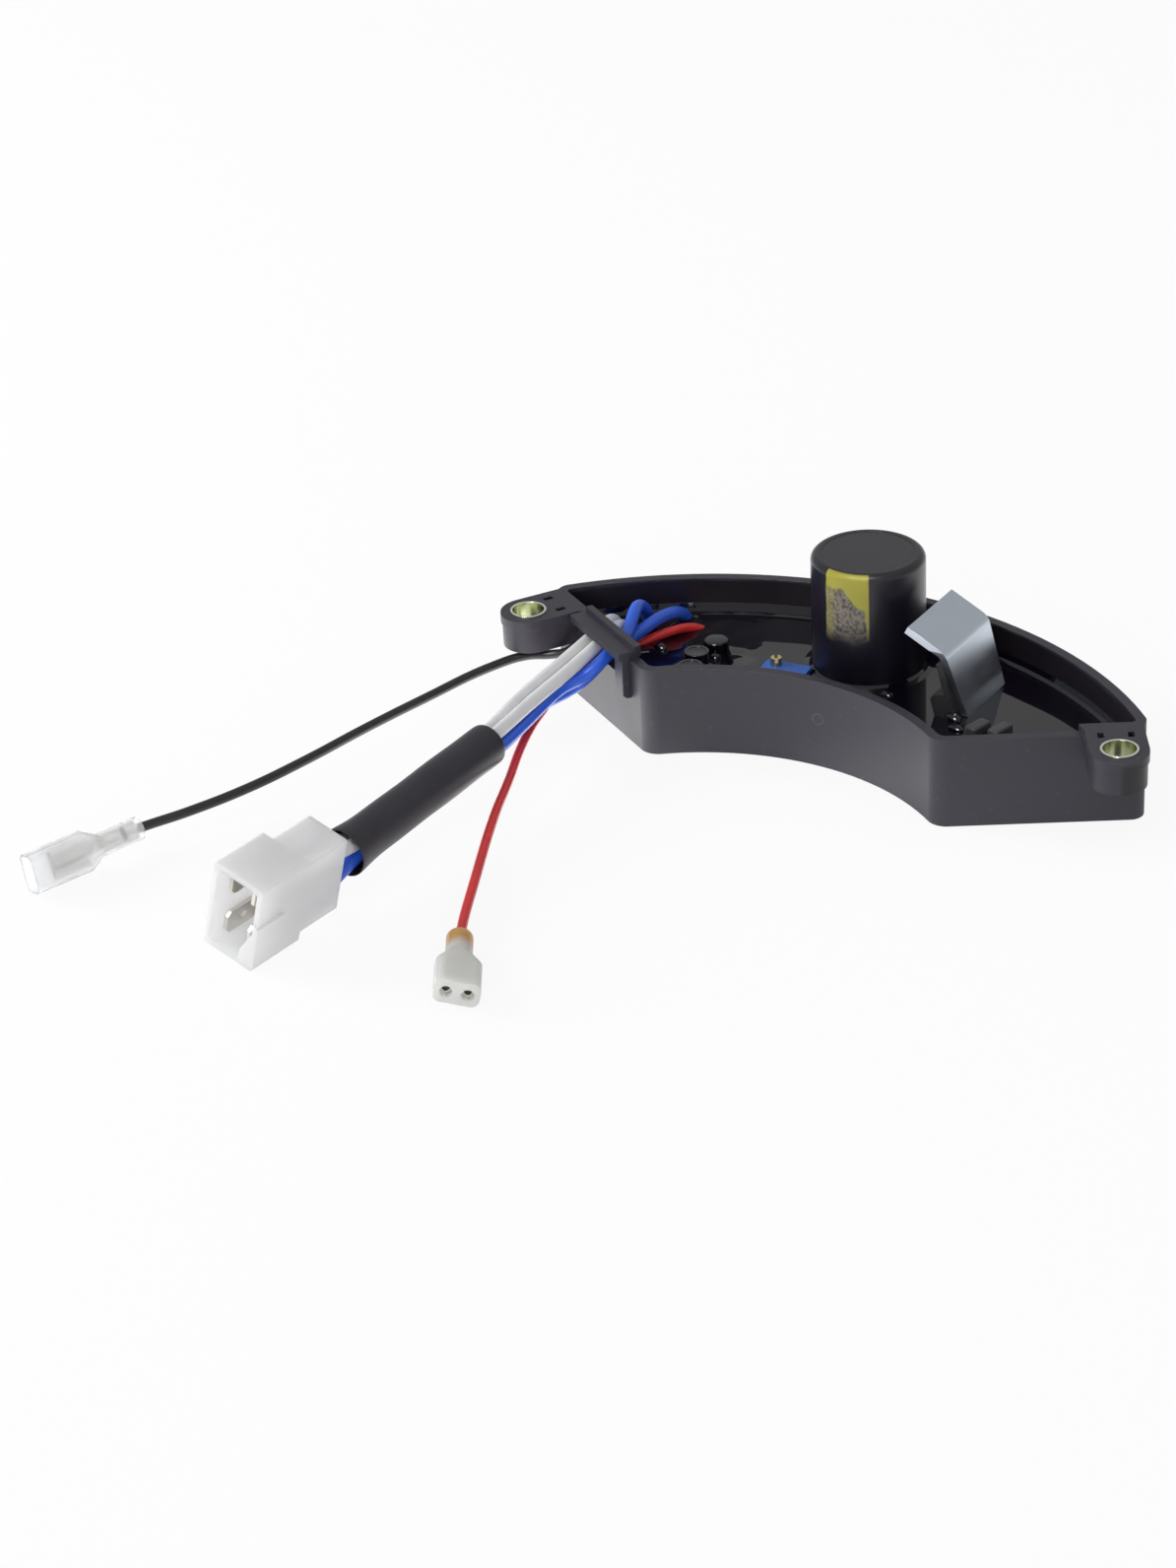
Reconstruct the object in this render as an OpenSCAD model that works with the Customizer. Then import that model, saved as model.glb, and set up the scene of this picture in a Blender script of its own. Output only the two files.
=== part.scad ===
// Automatic voltage regulator for a portable generator: a crescent tray with
// its circuit board potted in resin, two mounting ears and a harness of leads.
// Millimetres. X runs along the two mounting holes, Z up from the tray's floor.

/* [Mounting ears] */
// Distance between the two mounting holes
hole_pitch = 130; // [110:0.5:150]
// Bore of the mounting bushes, clearance for an M6 screw
hole_d = 6.4; // [5:0.1:7.4]
// Wall of the mounting bushes
bush_wall = 0.45; // [0.3:0.05:0.9]
// Height of the bushes above the ears
bush_proud = 0.3; // [0.1:0.1:1]
// Width of the mounting ears
ear_w = 11.3; // [10:0.1:13]
// Thickness of the mounting ears
ear_t = 7; // [4:0.5:10]
// Thickness of the full-width lip along the top of the ears
ear_lip = 2; // [1:0.5:3]
// Set-back of the ears below that lip
ear_step = 0.3; // [0.1:0.1:0.8]
// Distance from a mounting hole to the end wall
hole_reach = 8.7; // [7:0.1:11]
// Length of the moulding slots in the ears
slot_l = 2; // [1:0.1:3]
// Width of the moulding slots in the ears
slot_w = 1.2; // [0.8:0.1:1.6]
// Depth of the moulding slots in the ears
slot_depth = 4; // [1:0.5:6]
// Distance between the two moulding slots of an ear
slot_pitch = 5.7; // [4:0.1:7]
// Distance from the end wall to the moulding slots
slot_reach = 2.85; // [1.5:0.05:3.5]

/* [Tray] */
// Radius of the hollow front wall
front_r = 49.4; // [44:0.1:54]
// Radius of the bulging back wall
back_r = 89.1; // [84:0.1:95]
// Distance from the line of the holes to the centre of both arcs
arc_depth = 48.2; // [45:0.1:51]
// Angle of the end walls to the line of the holes
end_angle = 31.5; // [27:0.5:36]
// Height of the back wall and the ears
tray_h = 20; // [18.5:0.5:26]
// Drop from there to the rim of the front and end walls
rim_drop = 1.5; // [0.5:0.1:2]
// Distance that the full height reaches in from the back
back_rim = 12.8; // [8:0.1:18]
// Thickness of the walls
wall_t = 2; // [1.4:0.1:2.6]
// Thickness of the floor
floor_t = 1.6; // [1:0.1:3]
// Rounding of the front corners
front_corner_r = 4; // [3:0.1:6]
// Rounding of the back corners
back_corner_r = 3; // [2.8:0.1:5]
// Height of the standoffs under the board
standoff_h = 1; // [0.5:0.1:2]
// Diameter of the standoffs under the board
standoff_d = 4; // [3:0.1:6]

/* [Lead notch and clip] */
// Distance along the end wall from the mounting hole to the notch
notch_from = 7; // [6.5:0.1:9]
// Length of the notch
notch_l = 16.5; // [15:0.1:18]
// Height of the notch sill above the tray's base
notch_z = 13.2; // [13:0.1:14]
// Distance along the end wall from the mounting hole to the slit under the notch
slit_from = 21; // [20:0.1:22]
// Width of that slit
slit_w = 0.5; // [0.3:0.1:0.8]
// Height of that slit
slit_h = 3.2; // [2:0.1:4]
// Depth of that slit
slit_depth = 1; // [0.5:0.1:1.2]
// Thickness of the clip bar that closes the notch
clip_t = 1.5; // [1:0.1:2.5]
// Reach of the clip bar inside the end wall's outer face
clip_in = 2.6; // [2.2:0.1:3]
// Reach of the clip bar outside the end wall's outer face
clip_out = 2.4; // [1.8:0.1:3]
// Lap of the clip bar on the rim next to the ear
clip_lap = 0.8; // [0.4:0.1:1.2]
// Lap of the clip bar on the rim next to the front corner
clip_far_lap = 3.8; // [3.4:0.1:4.4]
// Width of the clip leg
clip_leg_w = 3.2; // [2:0.1:3.4]
// Thickness of the clip leg
clip_leg_t = 1.7; // [1.2:0.1:1.8]
// Length of the clip leg below the bar
clip_leg_h = 8.5; // [6:0.1:10]
// Depth of the barb that the leg hooks into the wall
clip_barb = 0.9; // [0.5:0.1:1.2]
// Height of that barb
clip_barb_h = 1.4; // [1:0.1:2]
// Clearance round the clip where the tray takes it
clip_gap = 0.1; // [0.05:0.01:0.3]
// Width of the bead along the inner edge of the clip bar
clip_bead = 1.4; // [0.8:0.1:1.6]
// Height of that bead
clip_bead_h = 0.9; // [0.5:0.1:1.4]

/* [Board and resin] */
// Thickness of the circuit board
board_t = 1.6; // [1:0.1:2.4]
// Gap between the board and the walls
board_gap = 0.8; // [0.5:0.1:1.2]
// Height of the resin above the tray's base
resin_z = 12.8; // [12:0.1:13.1]
// Height that the resin climbs up the back wall
wall_climb = 1.7; // [0.5:0.1:2.5]
// Height that the resin climbs up the capacitor
can_climb = 1.9; // [0.5:0.1:3]
// Width of the resin's climb at its foot
climb_w = 2.2; // [1:0.1:3]

/* [Capacitor] */
// Diameter over the capacitor's sleeve
cap_d = 22.6; // [18:0.1:24]
// Height of the capacitor above the board
cap_h = 33; // [25:0.1:40]
// Angle of the capacitor about the centre of the arcs
cap_a = 0.25; // [-3:0.01:3]
// Distance of the capacitor out from the middle arc
cap_out = 1.75; // [0:0.05:2.5]
// Thickness of the capacitor's sleeve
cap_sleeve_t = 0.3; // [0.2:0.05:0.6]
// Rounding of the capacitor's shoulder
cap_round = 1.5; // [0.8:0.1:2]
// Width of the sleeve's turned-in top edge
cap_lip = 2.1; // [1.6:0.1:3]
// Thickness of the disc in the capacitor's top
cap_disc_t = 0.25; // [0.15:0.05:0.3]
// Depth of the rolled groove round the capacitor's foot
cap_groove = 0.8; // [0.4:0.1:1.4]
// Height of that groove above the can's lower edge
cap_groove_z = 3; // [2:0.1:4]
// Height of the rubber seal in the capacitor's foot
cap_seal_h = 2; // [1.5:0.1:3]
// Standing height of that seal below the can
cap_seat = 0.3; // [0.2:0.05:0.8]
// Distance between the capacitor's pins
cap_pin_pitch = 10; // [7.5:0.1:11]
// Diameter of the capacitor's pins
cap_pin_d = 1.4; // [0.8:0.1:2]

/* [Trimmer] */
// Length of the trimmer
trim_l = 9.53; // [8:0.01:11]
// Width of the trimmer
trim_w = 4.83; // [4.2:0.01:6]
// Height of the trimmer above the board
trim_h = 9.6; // [9.2:0.01:11]
// Turn of the trimmer from the line of the holes
trim_turn = 6.1; // [-10:0.1:15]
// Angle of the trimmer about the centre of the arcs
trim_a = -11.77; // [-13:0.01:-10]
// Distance of the trimmer out from the middle arc
trim_out = -8.1; // [-9:0.05:-7]
// Diameter of the trimmer's screw
screw_d = 2.19; // [1.6:0.01:2.4]
// Height of the screw above the trimmer
screw_h = 1.52; // [0.8:0.01:2]
// Length of the screw inside the trimmer
screw_in = 5; // [3:0.1:7]
// Running clearance round the screw
screw_gap = 0.05; // [0.03:0.01:0.09]
// Width of the screw's slot
screw_slot_w = 0.64; // [0.4:0.01:0.8]
// Depth of the screw's slot
screw_slot_h = 0.76; // [0.4:0.01:1]
// Turn of the screw's slot at rest
screw_slot_turn = 117; // [0:1:180]
// Distance from the trimmer's end to the screw
screw_from_end = 2.4; // [1.7:0.05:3.5]
// Distance from the trimmer's back to the screw
screw_from_back = 1.5; // [1.4:0.05:2.4]
// Diameter of the pins of the trimmer
trim_pin_d = 0.6; // [0.4:0.05:0.9]
// Distance between the pins of the trimmer
trim_pin_pitch = 2.54; // [2:0.01:3]

/* [Heat sink and transistor] */
// Angle of the heat sink's foot about the centre of the arcs
sink_a = 24.9; // [23:0.1:27]
// Distance of the heat sink's foot out from the middle arc
sink_out = 3.2; // [2:0.1:4]
// Width of the heat sink strip
sink_w = 18.6; // [14:0.1:20]
// Thickness of the heat sink strip
sink_t = 1.5; // [0.8:0.1:2]
// Height of the heat sink's fold above the board
sink_fold_h = 22.6; // [19:0.1:28]
// Lean of the heat sink's leg from upright
sink_lean = 14.9; // [10:0.1:20]
// Length of the heat sink's flap
sink_flap = 8.9; // [5:0.1:14]
// Rise of the heat sink's flap
sink_rise = 26.6; // [10:0.1:40]
// Outer radius of the heat sink's fold
sink_bend_r = 3; // [2.2:0.1:5]
// Narrowing of the heat sink's leg at its foot
sink_taper = 4.6; // [1:0.1:6]
// Width of the transistor
tran_w = 10; // [9:0.1:11]
// Height of the transistor's moulded body
tran_body_h = 9; // [7:0.1:10]
// Thickness of the moulded body in front of its tab
tran_body_t = 3.2; // [2.5:0.1:4]
// Height of the transistor's moulded tab
tran_tab_h = 15.4; // [12:0.1:16]
// Thickness of the transistor's moulded tab
tran_tab_t = 1.3; // [0.8:0.1:1.6]
// Chamfer along the top of the moulded body
tran_chamfer = 0.8; // [0.3:0.1:1.2]
// Hole in the tab
tran_hole_d = 3.6; // [3:0.1:4]
// Distance down the leg from the fold to the tab
tran_drop = 2.2; // [1.5:0.1:4]
// Distance from the strip's front edge to the transistor
tran_edge = 0.5; // [0.2:0.1:3]
// Width of the transistor's leads
lead_w = 0.8; // [0.5:0.05:1.2]
// Thickness of the transistor's leads
lead_t = 0.5; // [0.3:0.05:0.8]
// Distance between the transistor's leads
lead_pitch = 2.54; // [2:0.01:3]

/* [Small parts on the board] */
// Diameter of the small electrolytic capacitors
elco_d = 5; // [4:0.1:5.6]
// Height of the small electrolytic capacitors
elco_h = 11; // [9.5:0.1:14]
// Rounding of their tops
elco_round = 0.8; // [0.3:0.1:1.2]
// Length of the film capacitors
film_l = 5; // [4:0.1:6]
// Width of the film capacitors
film_w = 2.6; // [2:0.1:3]
// Height of the film capacitors
film_h = 12; // [9.5:0.1:13]
// Rounding of their upright edges
film_round = 0.6; // [0.3:0.1:1]
// Turn of the film capacitors from the line of the holes
film_turn = 76; // [60:1:90]
// Diameter of the rectifier diodes
diode_d = 2.7; // [2:0.1:3.4]
// Length of the rectifier diodes
diode_l = 5.2; // [4:0.1:6]
// Lead diameter of the rectifier diodes
diode_lead = 0.8; // [0.5:0.05:1]
// Diameter of the resistors
resistor_d = 2.4; // [1.8:0.1:3]
// Length of the resistors
resistor_l = 6.3; // [5:0.1:7]
// Lead diameter of the resistors
resistor_lead = 0.6; // [0.4:0.05:0.8]
// Distance between the bent leads of diodes and resistors
axial_pitch = 10.16; // [9:0.01:11]
// Gap under diodes and resistors
axial_gap = 0.5; // [0.2:0.1:1.5]

/* [Leads] */
// Diameter of the two white wires
white_d = 2.7; // [2.2:0.05:2.7]
// Diameter of the two blue wires
blue_d = 2.6; // [2.1:0.05:2.6]
// Diameter of the red lead
red_d = 1.9; // [1.5:0.05:1.9]
// Diameter of the black lead
black_d = 1.9; // [1.5:0.05:1.9]
// Bore of the harness sleeve
sleeve_bore = 6.9; // [6.8:0.05:7.6]
// Wall of the harness sleeve
sleeve_wall = 0.45; // [0.3:0.05:1]
// Length of the harness sleeve
sleeve_l = 43; // [30:0.5:43]

/* [Connector] */
// Width of the connector's shroud
conn_w = 11.8; // [11:0.1:13]
// Height of the connector's shroud
conn_h = 18.7; // [18:0.1:20]
// Length of the connector's shroud
conn_l = 12.8; // [11.5:0.1:15]
// Wall of the connector's shroud
conn_wall = 1.2; // [0.8:0.1:1.4]
// Thickness of the web between the shroud and the rear block
conn_web = 1; // [0.6:0.1:2]
// Rounding of the connector's long edges
conn_round = 0.6; // [0.3:0.1:1]
// Width of the key in the shroud's lower corner
key_w = 2.3; // [1.5:0.1:2.3]
// Height of the key's inner side
key_low = 2.1; // [1:0.1:3]
// Height of the key along the wall
key_high = 7; // [4:0.1:8]
// Length of the key from the mouth
key_l = 10; // [6:0.1:10.4]
// Height of the slit in the shroud's side wall
side_slit = 0.5; // [0.3:0.1:0.8]
// Length of the slit in the shroud's side wall
side_slit_l = 7.2; // [4:0.1:10]
// Height of that slit above the shroud's middle
side_slit_z = 0.5; // [0:0.1:1]
// Width of the connector's rear block
rear_w = 9.5; // [9.1:0.1:10.5]
// Height of the connector's rear block
rear_h = 16.75; // [14:0.05:17.5]
// Length of the connector's rear block
rear_l = 10.3; // [8:0.1:12]
// Offset of the rear block across the connector
rear_dx = 1.15; // [0.9:0.05:1.3]
// Offset of the rear block up the connector
rear_dz = 0.95; // [0:0.05:1]
// Bore of the rear block for each wire
wire_bore = 3.2; // [3.1:0.05:3.4]
// Distance between the two columns of bores
bore_dx = 4.4; // [4.2:0.1:4.6]
// Distance between the two rows of bores
bore_dz = 6.8; // [6.4:0.1:7.2]
// Width of the blades
blade_w = 4.8; // [4.4:0.1:5]
// Thickness of the blades
blade_t = 0.8; // [0.6:0.05:1]
// Length of the blades in the shroud
blade_l = 9; // [8:0.1:9.4]
// Distance between the two columns of blades
blade_dx = 5.4; // [5:0.1:5.4]
// Distance between the two rows of blades
blade_dz = 9.3; // [9:0.1:9.4]
// Chamfer of the blades' tips
blade_tip = 0.9; // [0.5:0.1:1.6]
// Detent hole in the blades
blade_hole = 1.6; // [1:0.1:2]
// Width of the blades' tails in the bores
tail_w = 1.8; // [1:0.1:2]
// Length of the blades' tails in the bores
tail_l = 5; // [3:0.1:7]

/* [Receptacles] */
// Width of the red lead's cover at its mouth
red_cover_w = 8.5; // [8:0.1:9]
// Height of the red lead's cover at its mouth
red_cover_h = 4.6; // [4.4:0.1:5.2]
// Length of the cover's wide part
red_box_l = 9; // [8:0.1:11]
// Length of the cover's shoulder
red_neck_l = 3.2; // [2:0.1:5]
// Length of the cover's barrel
red_barrel_l = 6.6; // [6:0.1:8]
// Diameter of the cover's barrel
red_barrel_d = 5; // [4.7:0.1:6]
// Wall of the cover's wide part
red_wall = 0.8; // [0.5:0.05:0.85]
// Thickness of the cover's front with its two holes
red_front_t = 1.2; // [0.8:0.1:1.3]
// Diameter of the two holes in the cover's front
red_hole_d = 2.3; // [1.8:0.1:2.4]
// Width of the black lead's cover
black_cover_w = 8; // [7.9:0.1:9]
// Height of the black lead's cover
black_cover_h = 4.4; // [4.2:0.1:5]
// Length of the wide part of the black lead's cover
black_box_l = 12.5; // [11:0.1:15]
// Length of its shoulder
black_neck_l = 3; // [2:0.1:5]
// Length of its barrel
black_barrel_l = 9.3; // [8:0.1:11]
// Diameter of its barrel
black_barrel_d = 4.8; // [4.6:0.1:6]
// Wall of the black lead's cover and of both barrels
cover_wall = 0.5; // [0.3:0.05:0.6]
// Rounding of both covers' long edges
cover_round = 1.5; // [1.1:0.1:1.9]
// Width of the receptacles over their rolled edges
recept_w = 6.2; // [5.8:0.1:6.4]
// Diameter of their rolled edges
roll_d = 2.2; // [1.6:0.1:2.4]
// Length of the rolled edges
roll_l = 7.6; // [6:0.1:8]
// Thickness of the receptacles' metal
recept_t = 0.4; // [0.3:0.05:0.6]
// Diameter of their crimped barrels
crimp_d = 3.4; // [3:0.1:3.6]
// Distance from the cover's end to the crimped barrel
crimp_from_end = 1; // [0.5:0.1:1.5]
// Length of their crimped barrels
crimp_l = 7; // [6.5:0.1:7.2]
// Length of the barrel's rear part, which grips the insulation
grip_l = 2.6; // [2:0.1:2.8]
// Gap between the two parts of the barrel
crimp_gap = 1.1; // [0.6:0.1:1.2]
// Thickness of the strip that joins them
crimp_strip = 0.6; // [0.5:0.05:0.7]

/* [Hidden] */

$fn = 96;
// Overrun of cutting shapes past the faces that they cut
over = 1;
// Ease that lets a rounding cross its neighbours cleanly
ease = 0.02;

mid_r = (front_r + back_r) / 2;
bush_d = hole_d + 2 * bush_wall;
ear_z = tray_h - ear_t;
rim_z = tray_h - rim_drop;
board_z = floor_t + standoff_h;
board_top = board_z + board_t;
end_dir = [cos(end_angle), sin(end_angle)];
end_in = [-sin(end_angle), cos(end_angle)];
end_foot = [hole_pitch / 2, 0] + hole_reach * end_in;
arc_from_end = [0, -arc_depth] - end_foot;
arc_d = arc_from_end * end_dir;
arc_n = arc_from_end * end_in;

// Rounding left on a corner after the outline moves in, and the round's centre
function corner_left(r, inset) = max(r - inset, 0.5);
function front_centre(inset, r) =
    let (n = inset + r, reach = front_r + inset + r)
    end_foot + n * end_in + (arc_d + sqrt(reach * reach - (n - arc_n) * (n - arc_n))) * end_dir;
function back_centre(inset, r) =
    let (n = inset + r, reach = back_r - inset - r)
    end_foot + n * end_in + (arc_d + sqrt(reach * reach - (n - arc_n) * (n - arc_n))) * end_dir;
function unit(v) = v / norm(v);

// The middle of the tray from front to back, which the part's origin lies under
front_y = front_centre(0, front_corner_r)[1] - front_corner_r - ease;
mid_y = (back_r - arc_depth + front_y) / 2;

// A place on the tray by its angle about the arcs' centre and its distance from the middle arc
function spot(a, out) = [(mid_r + out) * sin(a), (mid_r + out) * cos(a) - arc_depth, 0];

cap_at = spot(cap_a, cap_out);
cap_r = cap_d / 2;
can_r = cap_r - cap_sleeve_t;
can_z = board_top + cap_seat;
cap_top = board_top + cap_h;
disc_r = cap_r - cap_lip;
seal_r = can_r - cap_groove - 0.4;
roll_x = recept_w / 2 - roll_d / 2;
pin_under = standoff_h * 0.6;

trim_at = spot(trim_a, trim_out);
screw_at = [screw_from_end - trim_l / 2, trim_w / 2 - screw_from_back];

sink_at = spot(sink_a, sink_out);
sink_up = [-sin(sink_lean), cos(sink_lean)];
sink_fold = sink_fold_h / cos(sink_lean) * sink_up;
sink_end = sink_fold + sink_flap * [-cos(sink_rise), sin(sink_rise)];
sink_turn = 90 - sink_lean - sink_rise;
tran_y = tran_edge + tran_w / 2 - sink_w / 2;
tran_top = sink_fold_h / cos(sink_lean) - tran_drop;

elco_spots = [[-25.43, -0.2], [-28.59, -5.4], [-29.7, -11.4]];
film_spots = [[32.97, -7.15], [35.8, -4.1]];
diode_angles = [-17, -21, -25, -29];
diode_out = 9.7;
resistor_angles = [31, 34.2, 37.4, 40.6];
resistor_out = 7.5;
standoff_spots = [[-36, 0], [-12, 10], [-20, -10], [16, 10], [15, -10], [33, -6]];

// Leads from their ends in the resin to their far ends
white_a_route = [
    [-52, 14, 11.4], [-51.9, 12.2, 14.6], [-51.4, 9.4, 16.6], [-51, 6, 17], [-50.8, 2.6, 16.9],
    [-50.7, -11, 16.2], [-51, -25, 15.3], [-50.5, -40.6, 14], [-52, -61.9, 13], [-53.5, -83.2, 12],
    [-53.9, -86.6, 13.4], [-54.2, -90, 14.7], [-54.9, -96.7, 14.7]
];
white_b_route = [
    [-48.9, 12.6, 11.4], [-48.8, 10.7, 14.8], [-48.4, 7.8, 16.7], [-48.1, 4.4, 17], [-47.9, 0.9, 16.9],
    [-47.9, -11, 16.1], [-48.1, -25, 15.4], [-47.8, -40.8, 14.7], [-49.2, -62.1, 13.4], [-50.7, -83.4, 12],
    [-50.3, -87, 12.8], [-50, -90.5, 13.6], [-50.7, -97.1, 13.6]
];
blue_a_route = [
    [-49, 20.6, 11.5], [-48.3, 18.6, 14.4], [-47.6, 15.8, 17.6], [-46.9, 12.6, 19.3], [-46, 9.6, 19.2],
    [-45.2, 6.6, 17.9], [-44.4, 3.4, 17], [-44.2, -1.4, 16.9], [-44.2, -3.8, 16.4], [-45, -6.8, 15.2],
    [-46.9, -10, 13.5], [-48.6, -14, 12.9], [-48.6, -20, 12.6], [-48, -28, 12.2], [-47.1, -40.4, 12],
    [-48.9, -61.8, 10.6], [-50.7, -83.2, 9.2], [-51.3, -86.8, 8], [-51.8, -90.3, 7], [-52.5, -97, 7]
];
blue_b_route = [
    [-42.7, 25, 11.4], [-42.6, 23.6, 13.4], [-42.6, 21, 15.2], [-43, 17.5, 16.2], [-43.4, 13, 16.6],
    [-44.2, 9.4, 16], [-45.4, 6, 14.9], [-45.9, 2.6, 14.6], [-45.95, -2.2, 14.6], [-46.6, -5, 13.3],
    [-48, -8, 11.5], [-49.5, -11, 10.4], [-50.5, -14.5, 10.2], [-51, -22, 10.8], [-49.8, -40.6, 11.3],
    [-51.6, -61.8, 10.2], [-53.5, -83, 9.2], [-54.8, -86.5, 8.6], [-56, -89.8, 8.1], [-56.7, -96.5, 8.1]
];
red_route = [
    [-37, 22.5, 11.6], [-38.8, 19.8, 13.2], [-41.2, 15, 13.8], [-43.6, 11.4, 13.2], [-45.8, 8.6, 12.4],
    [-47.6, 6, 13.4], [-48.2, 3.2, 14.6], [-48.7, -1.4, 14.5], [-49.4, -4, 13.2], [-50.6, -7, 11],
    [-51.8, -10, 9.4], [-52.2, -13.6, 8.6], [-51.6, -17.4, 8.3], [-50.4, -22.6, 8.2], [-47.6, -31.5, 7.8],
    [-43.6, -42, 7], [-39.2, -54, 6.4], [-31.6, -72.5, 4.4], [-23.5, -90.3, 3.2], [-20.8, -94.75, 3.2]
];
black_route = [
    [-54.5, 12, 11.4], [-53.4, 9.5, 13.9], [-52.6, 7, 14.7], [-52.5, 4.9, 14.6], [-53.2, 3.2, 14.6],
    [-54.4, 1.6, 14.1], [-56.6, 0.3, 12.4], [-59.6, -0.6, 11.6], [-63.9, -3.2, 11.5], [-67.9, -9, 11],
    [-74.4, -25.1, 9.4], [-79.4, -38.8, 8], [-83.7, -53.1, 6.8], [-88.4, -66.4, 5.8], [-94.1, -78.1, 5],
    [-98.9, -86.6, 4.6], [-100.5, -91.2, 4.6]
];
sleeve_from = [-48.8, -40.6, 13];
sleeve_to = [-52.1, -83.2, 10.6];
conn_at = [-56.7, -113.6, 10.6];
conn_turn = [0, 15, -6];
bore_mid = [1.1, 0.6];
blade_mid = [-0.85, -0.75];
red_at = [-23.1, -91, 3.2];
red_turn = [0, 15, 31.5];
black_at = [-99.2, -87, 4.6];
black_turn = [0, 75, -17.5];

case_color = [0.16, 0.16, 0.17];
resin_color = [0.03, 0.03, 0.03];
tin_color = [0.78, 0.78, 0.76];
nylon_color = [0.92, 0.92, 0.9];

// Everything is laid out from the middle between the holes and moved over the origin
module from_holes() translate([0, -mid_y, 0]) children();

// Frame on an end wall: X along the wall towards the back, Y inwards from its outer face
module end_frame(side) {
    mirror([side, 0, 0]) translate([hole_pitch / 2, 0, 0]) rotate(end_angle)
        translate([0, hole_reach, 0]) children();
}

// Cuts the sharp corner between two walls back to a round
module corner_cut(centre, r, wall_a, wall_b) {
    reach = r + over;
    tip = reach / (1 + wall_a * wall_b) * (wall_a + wall_b);
    translate(centre) difference() {
        polygon([[0, 0], reach * wall_a, tip, reach * wall_b]);
        circle(r + ease);
    }
}

// The tray's outline, moved in by an inset
module plan(inset) {
    apex = end_foot[1] + inset * end_in[1] - (end_foot[0] + inset * end_in[0]) * tan(end_angle);
    far = 3 * back_r;
    rf = corner_left(front_corner_r, inset);
    rb = corner_left(back_corner_r, inset);
    cf = front_centre(inset, rf);
    cb = back_centre(inset, rb);
    centre = [0, -arc_depth];
    difference() {
        intersection() {
            translate(centre) difference() {
                circle(back_r - inset, $fn = 180);
                circle(front_r + inset, $fn = 180);
            }
            polygon([[0, apex], [far, apex + far * tan(end_angle)],
                     [0, apex + 2 * far], [-far, apex + far * tan(end_angle)]]);
        }
        for (side = [0, 1]) mirror([side, 0]) {
            corner_cut(cf, rf, -end_in, -unit(cf - centre));
            corner_cut(cb, rb, -end_in, unit(cb - centre));
        }
    }
}

module ear_outline(w) {
    circle(d = w);
    translate([-w / 2, 0]) square([w, hole_reach + 0.75 * wall_t]);
}

module ear(side) {
    mirror([side, 0, 0]) translate([hole_pitch / 2, 0, ear_z]) rotate(end_angle) {
        linear_extrude(ear_t) ear_outline(ear_w - 2 * ear_step);
        translate([0, 0, ear_t - ear_lip]) linear_extrude(ear_lip) ear_outline(ear_w);
    }
}

module ear_cuts(side) {
    mirror([side, 0, 0]) translate([hole_pitch / 2, 0, 0])
        translate([0, 0, ear_z - over]) cylinder(d = bush_d, h = ear_t + 2 * over);
    end_frame(side) for (x = [-1, 1])
        translate([x * slot_pitch / 2 - slot_w / 2, -slot_reach - slot_l / 2, tray_h - slot_depth])
            cube([slot_w, slot_l, slot_depth + over]);
}

module notch_cut() {
    end_frame(1) translate([-notch_from - notch_l, -over, notch_z])
        cube([notch_l, wall_t + 2 * over, tray_h]);
    end_frame(1) translate([-slit_from - slit_w / 2, -over, notch_z - slit_h])
        cube([slit_w, slit_depth + over, slit_h + over]);
}

// Side view of the clip's leg with its barb, Y inwards and Z down from the bar
module leg_profile(grow) {
    polygon([
        [-clip_leg_t, 0], [0, 0], [0, -clip_leg_h + clip_barb_h + grow],
        [clip_barb + grow, -clip_leg_h + clip_barb_h / 2 + grow],
        [clip_barb + grow, -clip_leg_h - grow], [-clip_leg_t / 2, -clip_leg_h - grow],
        [-clip_leg_t, -clip_leg_h + clip_barb_h / 2]
    ]);
}

module clip_leg(grow) {
    end_frame(1) translate([-notch_from - notch_l - clip_far_lap + clip_leg_w + grow, 0, rim_z])
        rotate([90, 0, -90]) mirror([1, 0, 0]) linear_extrude(clip_leg_w + 2 * grow) leg_profile(grow);
}

// Outline of the clip's seat on the rim, X along the wall
module clip_seat() {
    end_frame(1) translate([-notch_from - notch_l - clip_far_lap - clip_gap, -clip_out])
        square([notch_l + clip_far_lap + clip_lap + 2 * clip_gap, clip_out + clip_in + clip_gap]);
}

module clip_bar() {
    end_frame(1) translate([-notch_from - notch_l - clip_far_lap, 0, rim_z])
        rotate([90, 0, 90]) linear_extrude(notch_l + clip_far_lap + clip_lap)
            polygon([[-clip_out, 0], [clip_in, 0], [clip_in, clip_t + clip_bead_h],
                     [clip_in - clip_bead, clip_t + clip_bead_h], [clip_in - clip_bead, clip_t],
                     [-clip_out, clip_t]]);
}

module case() color(case_color) from_holes() {
    difference() {
        union() {
            difference() {
                linear_extrude(tray_h) plan(0);
                translate([0, 0, rim_z]) linear_extrude(rim_drop + over) {
                    translate([0, -arc_depth]) circle(back_r - back_rim);
                    clip_seat();
                }
            }
            for (side = [0, 1]) ear(side);
        }
        translate([0, 0, floor_t]) linear_extrude(tray_h) plan(wall_t);
        for (side = [0, 1]) ear_cuts(side);
        notch_cut();
        clip_leg(clip_gap);
    }
    for (s = standoff_spots) translate(spot(s[0], s[1]) + [0, 0, floor_t])
        cylinder(d = standoff_d, h = standoff_h);
}

module mount_bushes() color([0.7, 0.72, 0.35]) from_holes()
    for (x = [-1, 1]) translate([x * hole_pitch / 2, 0, ear_z]) difference() {
        cylinder(d = bush_d, h = ear_t + bush_proud);
        translate([0, 0, -over]) cylinder(d = hole_d, h = ear_t + bush_proud + 2 * over);
    }

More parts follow.
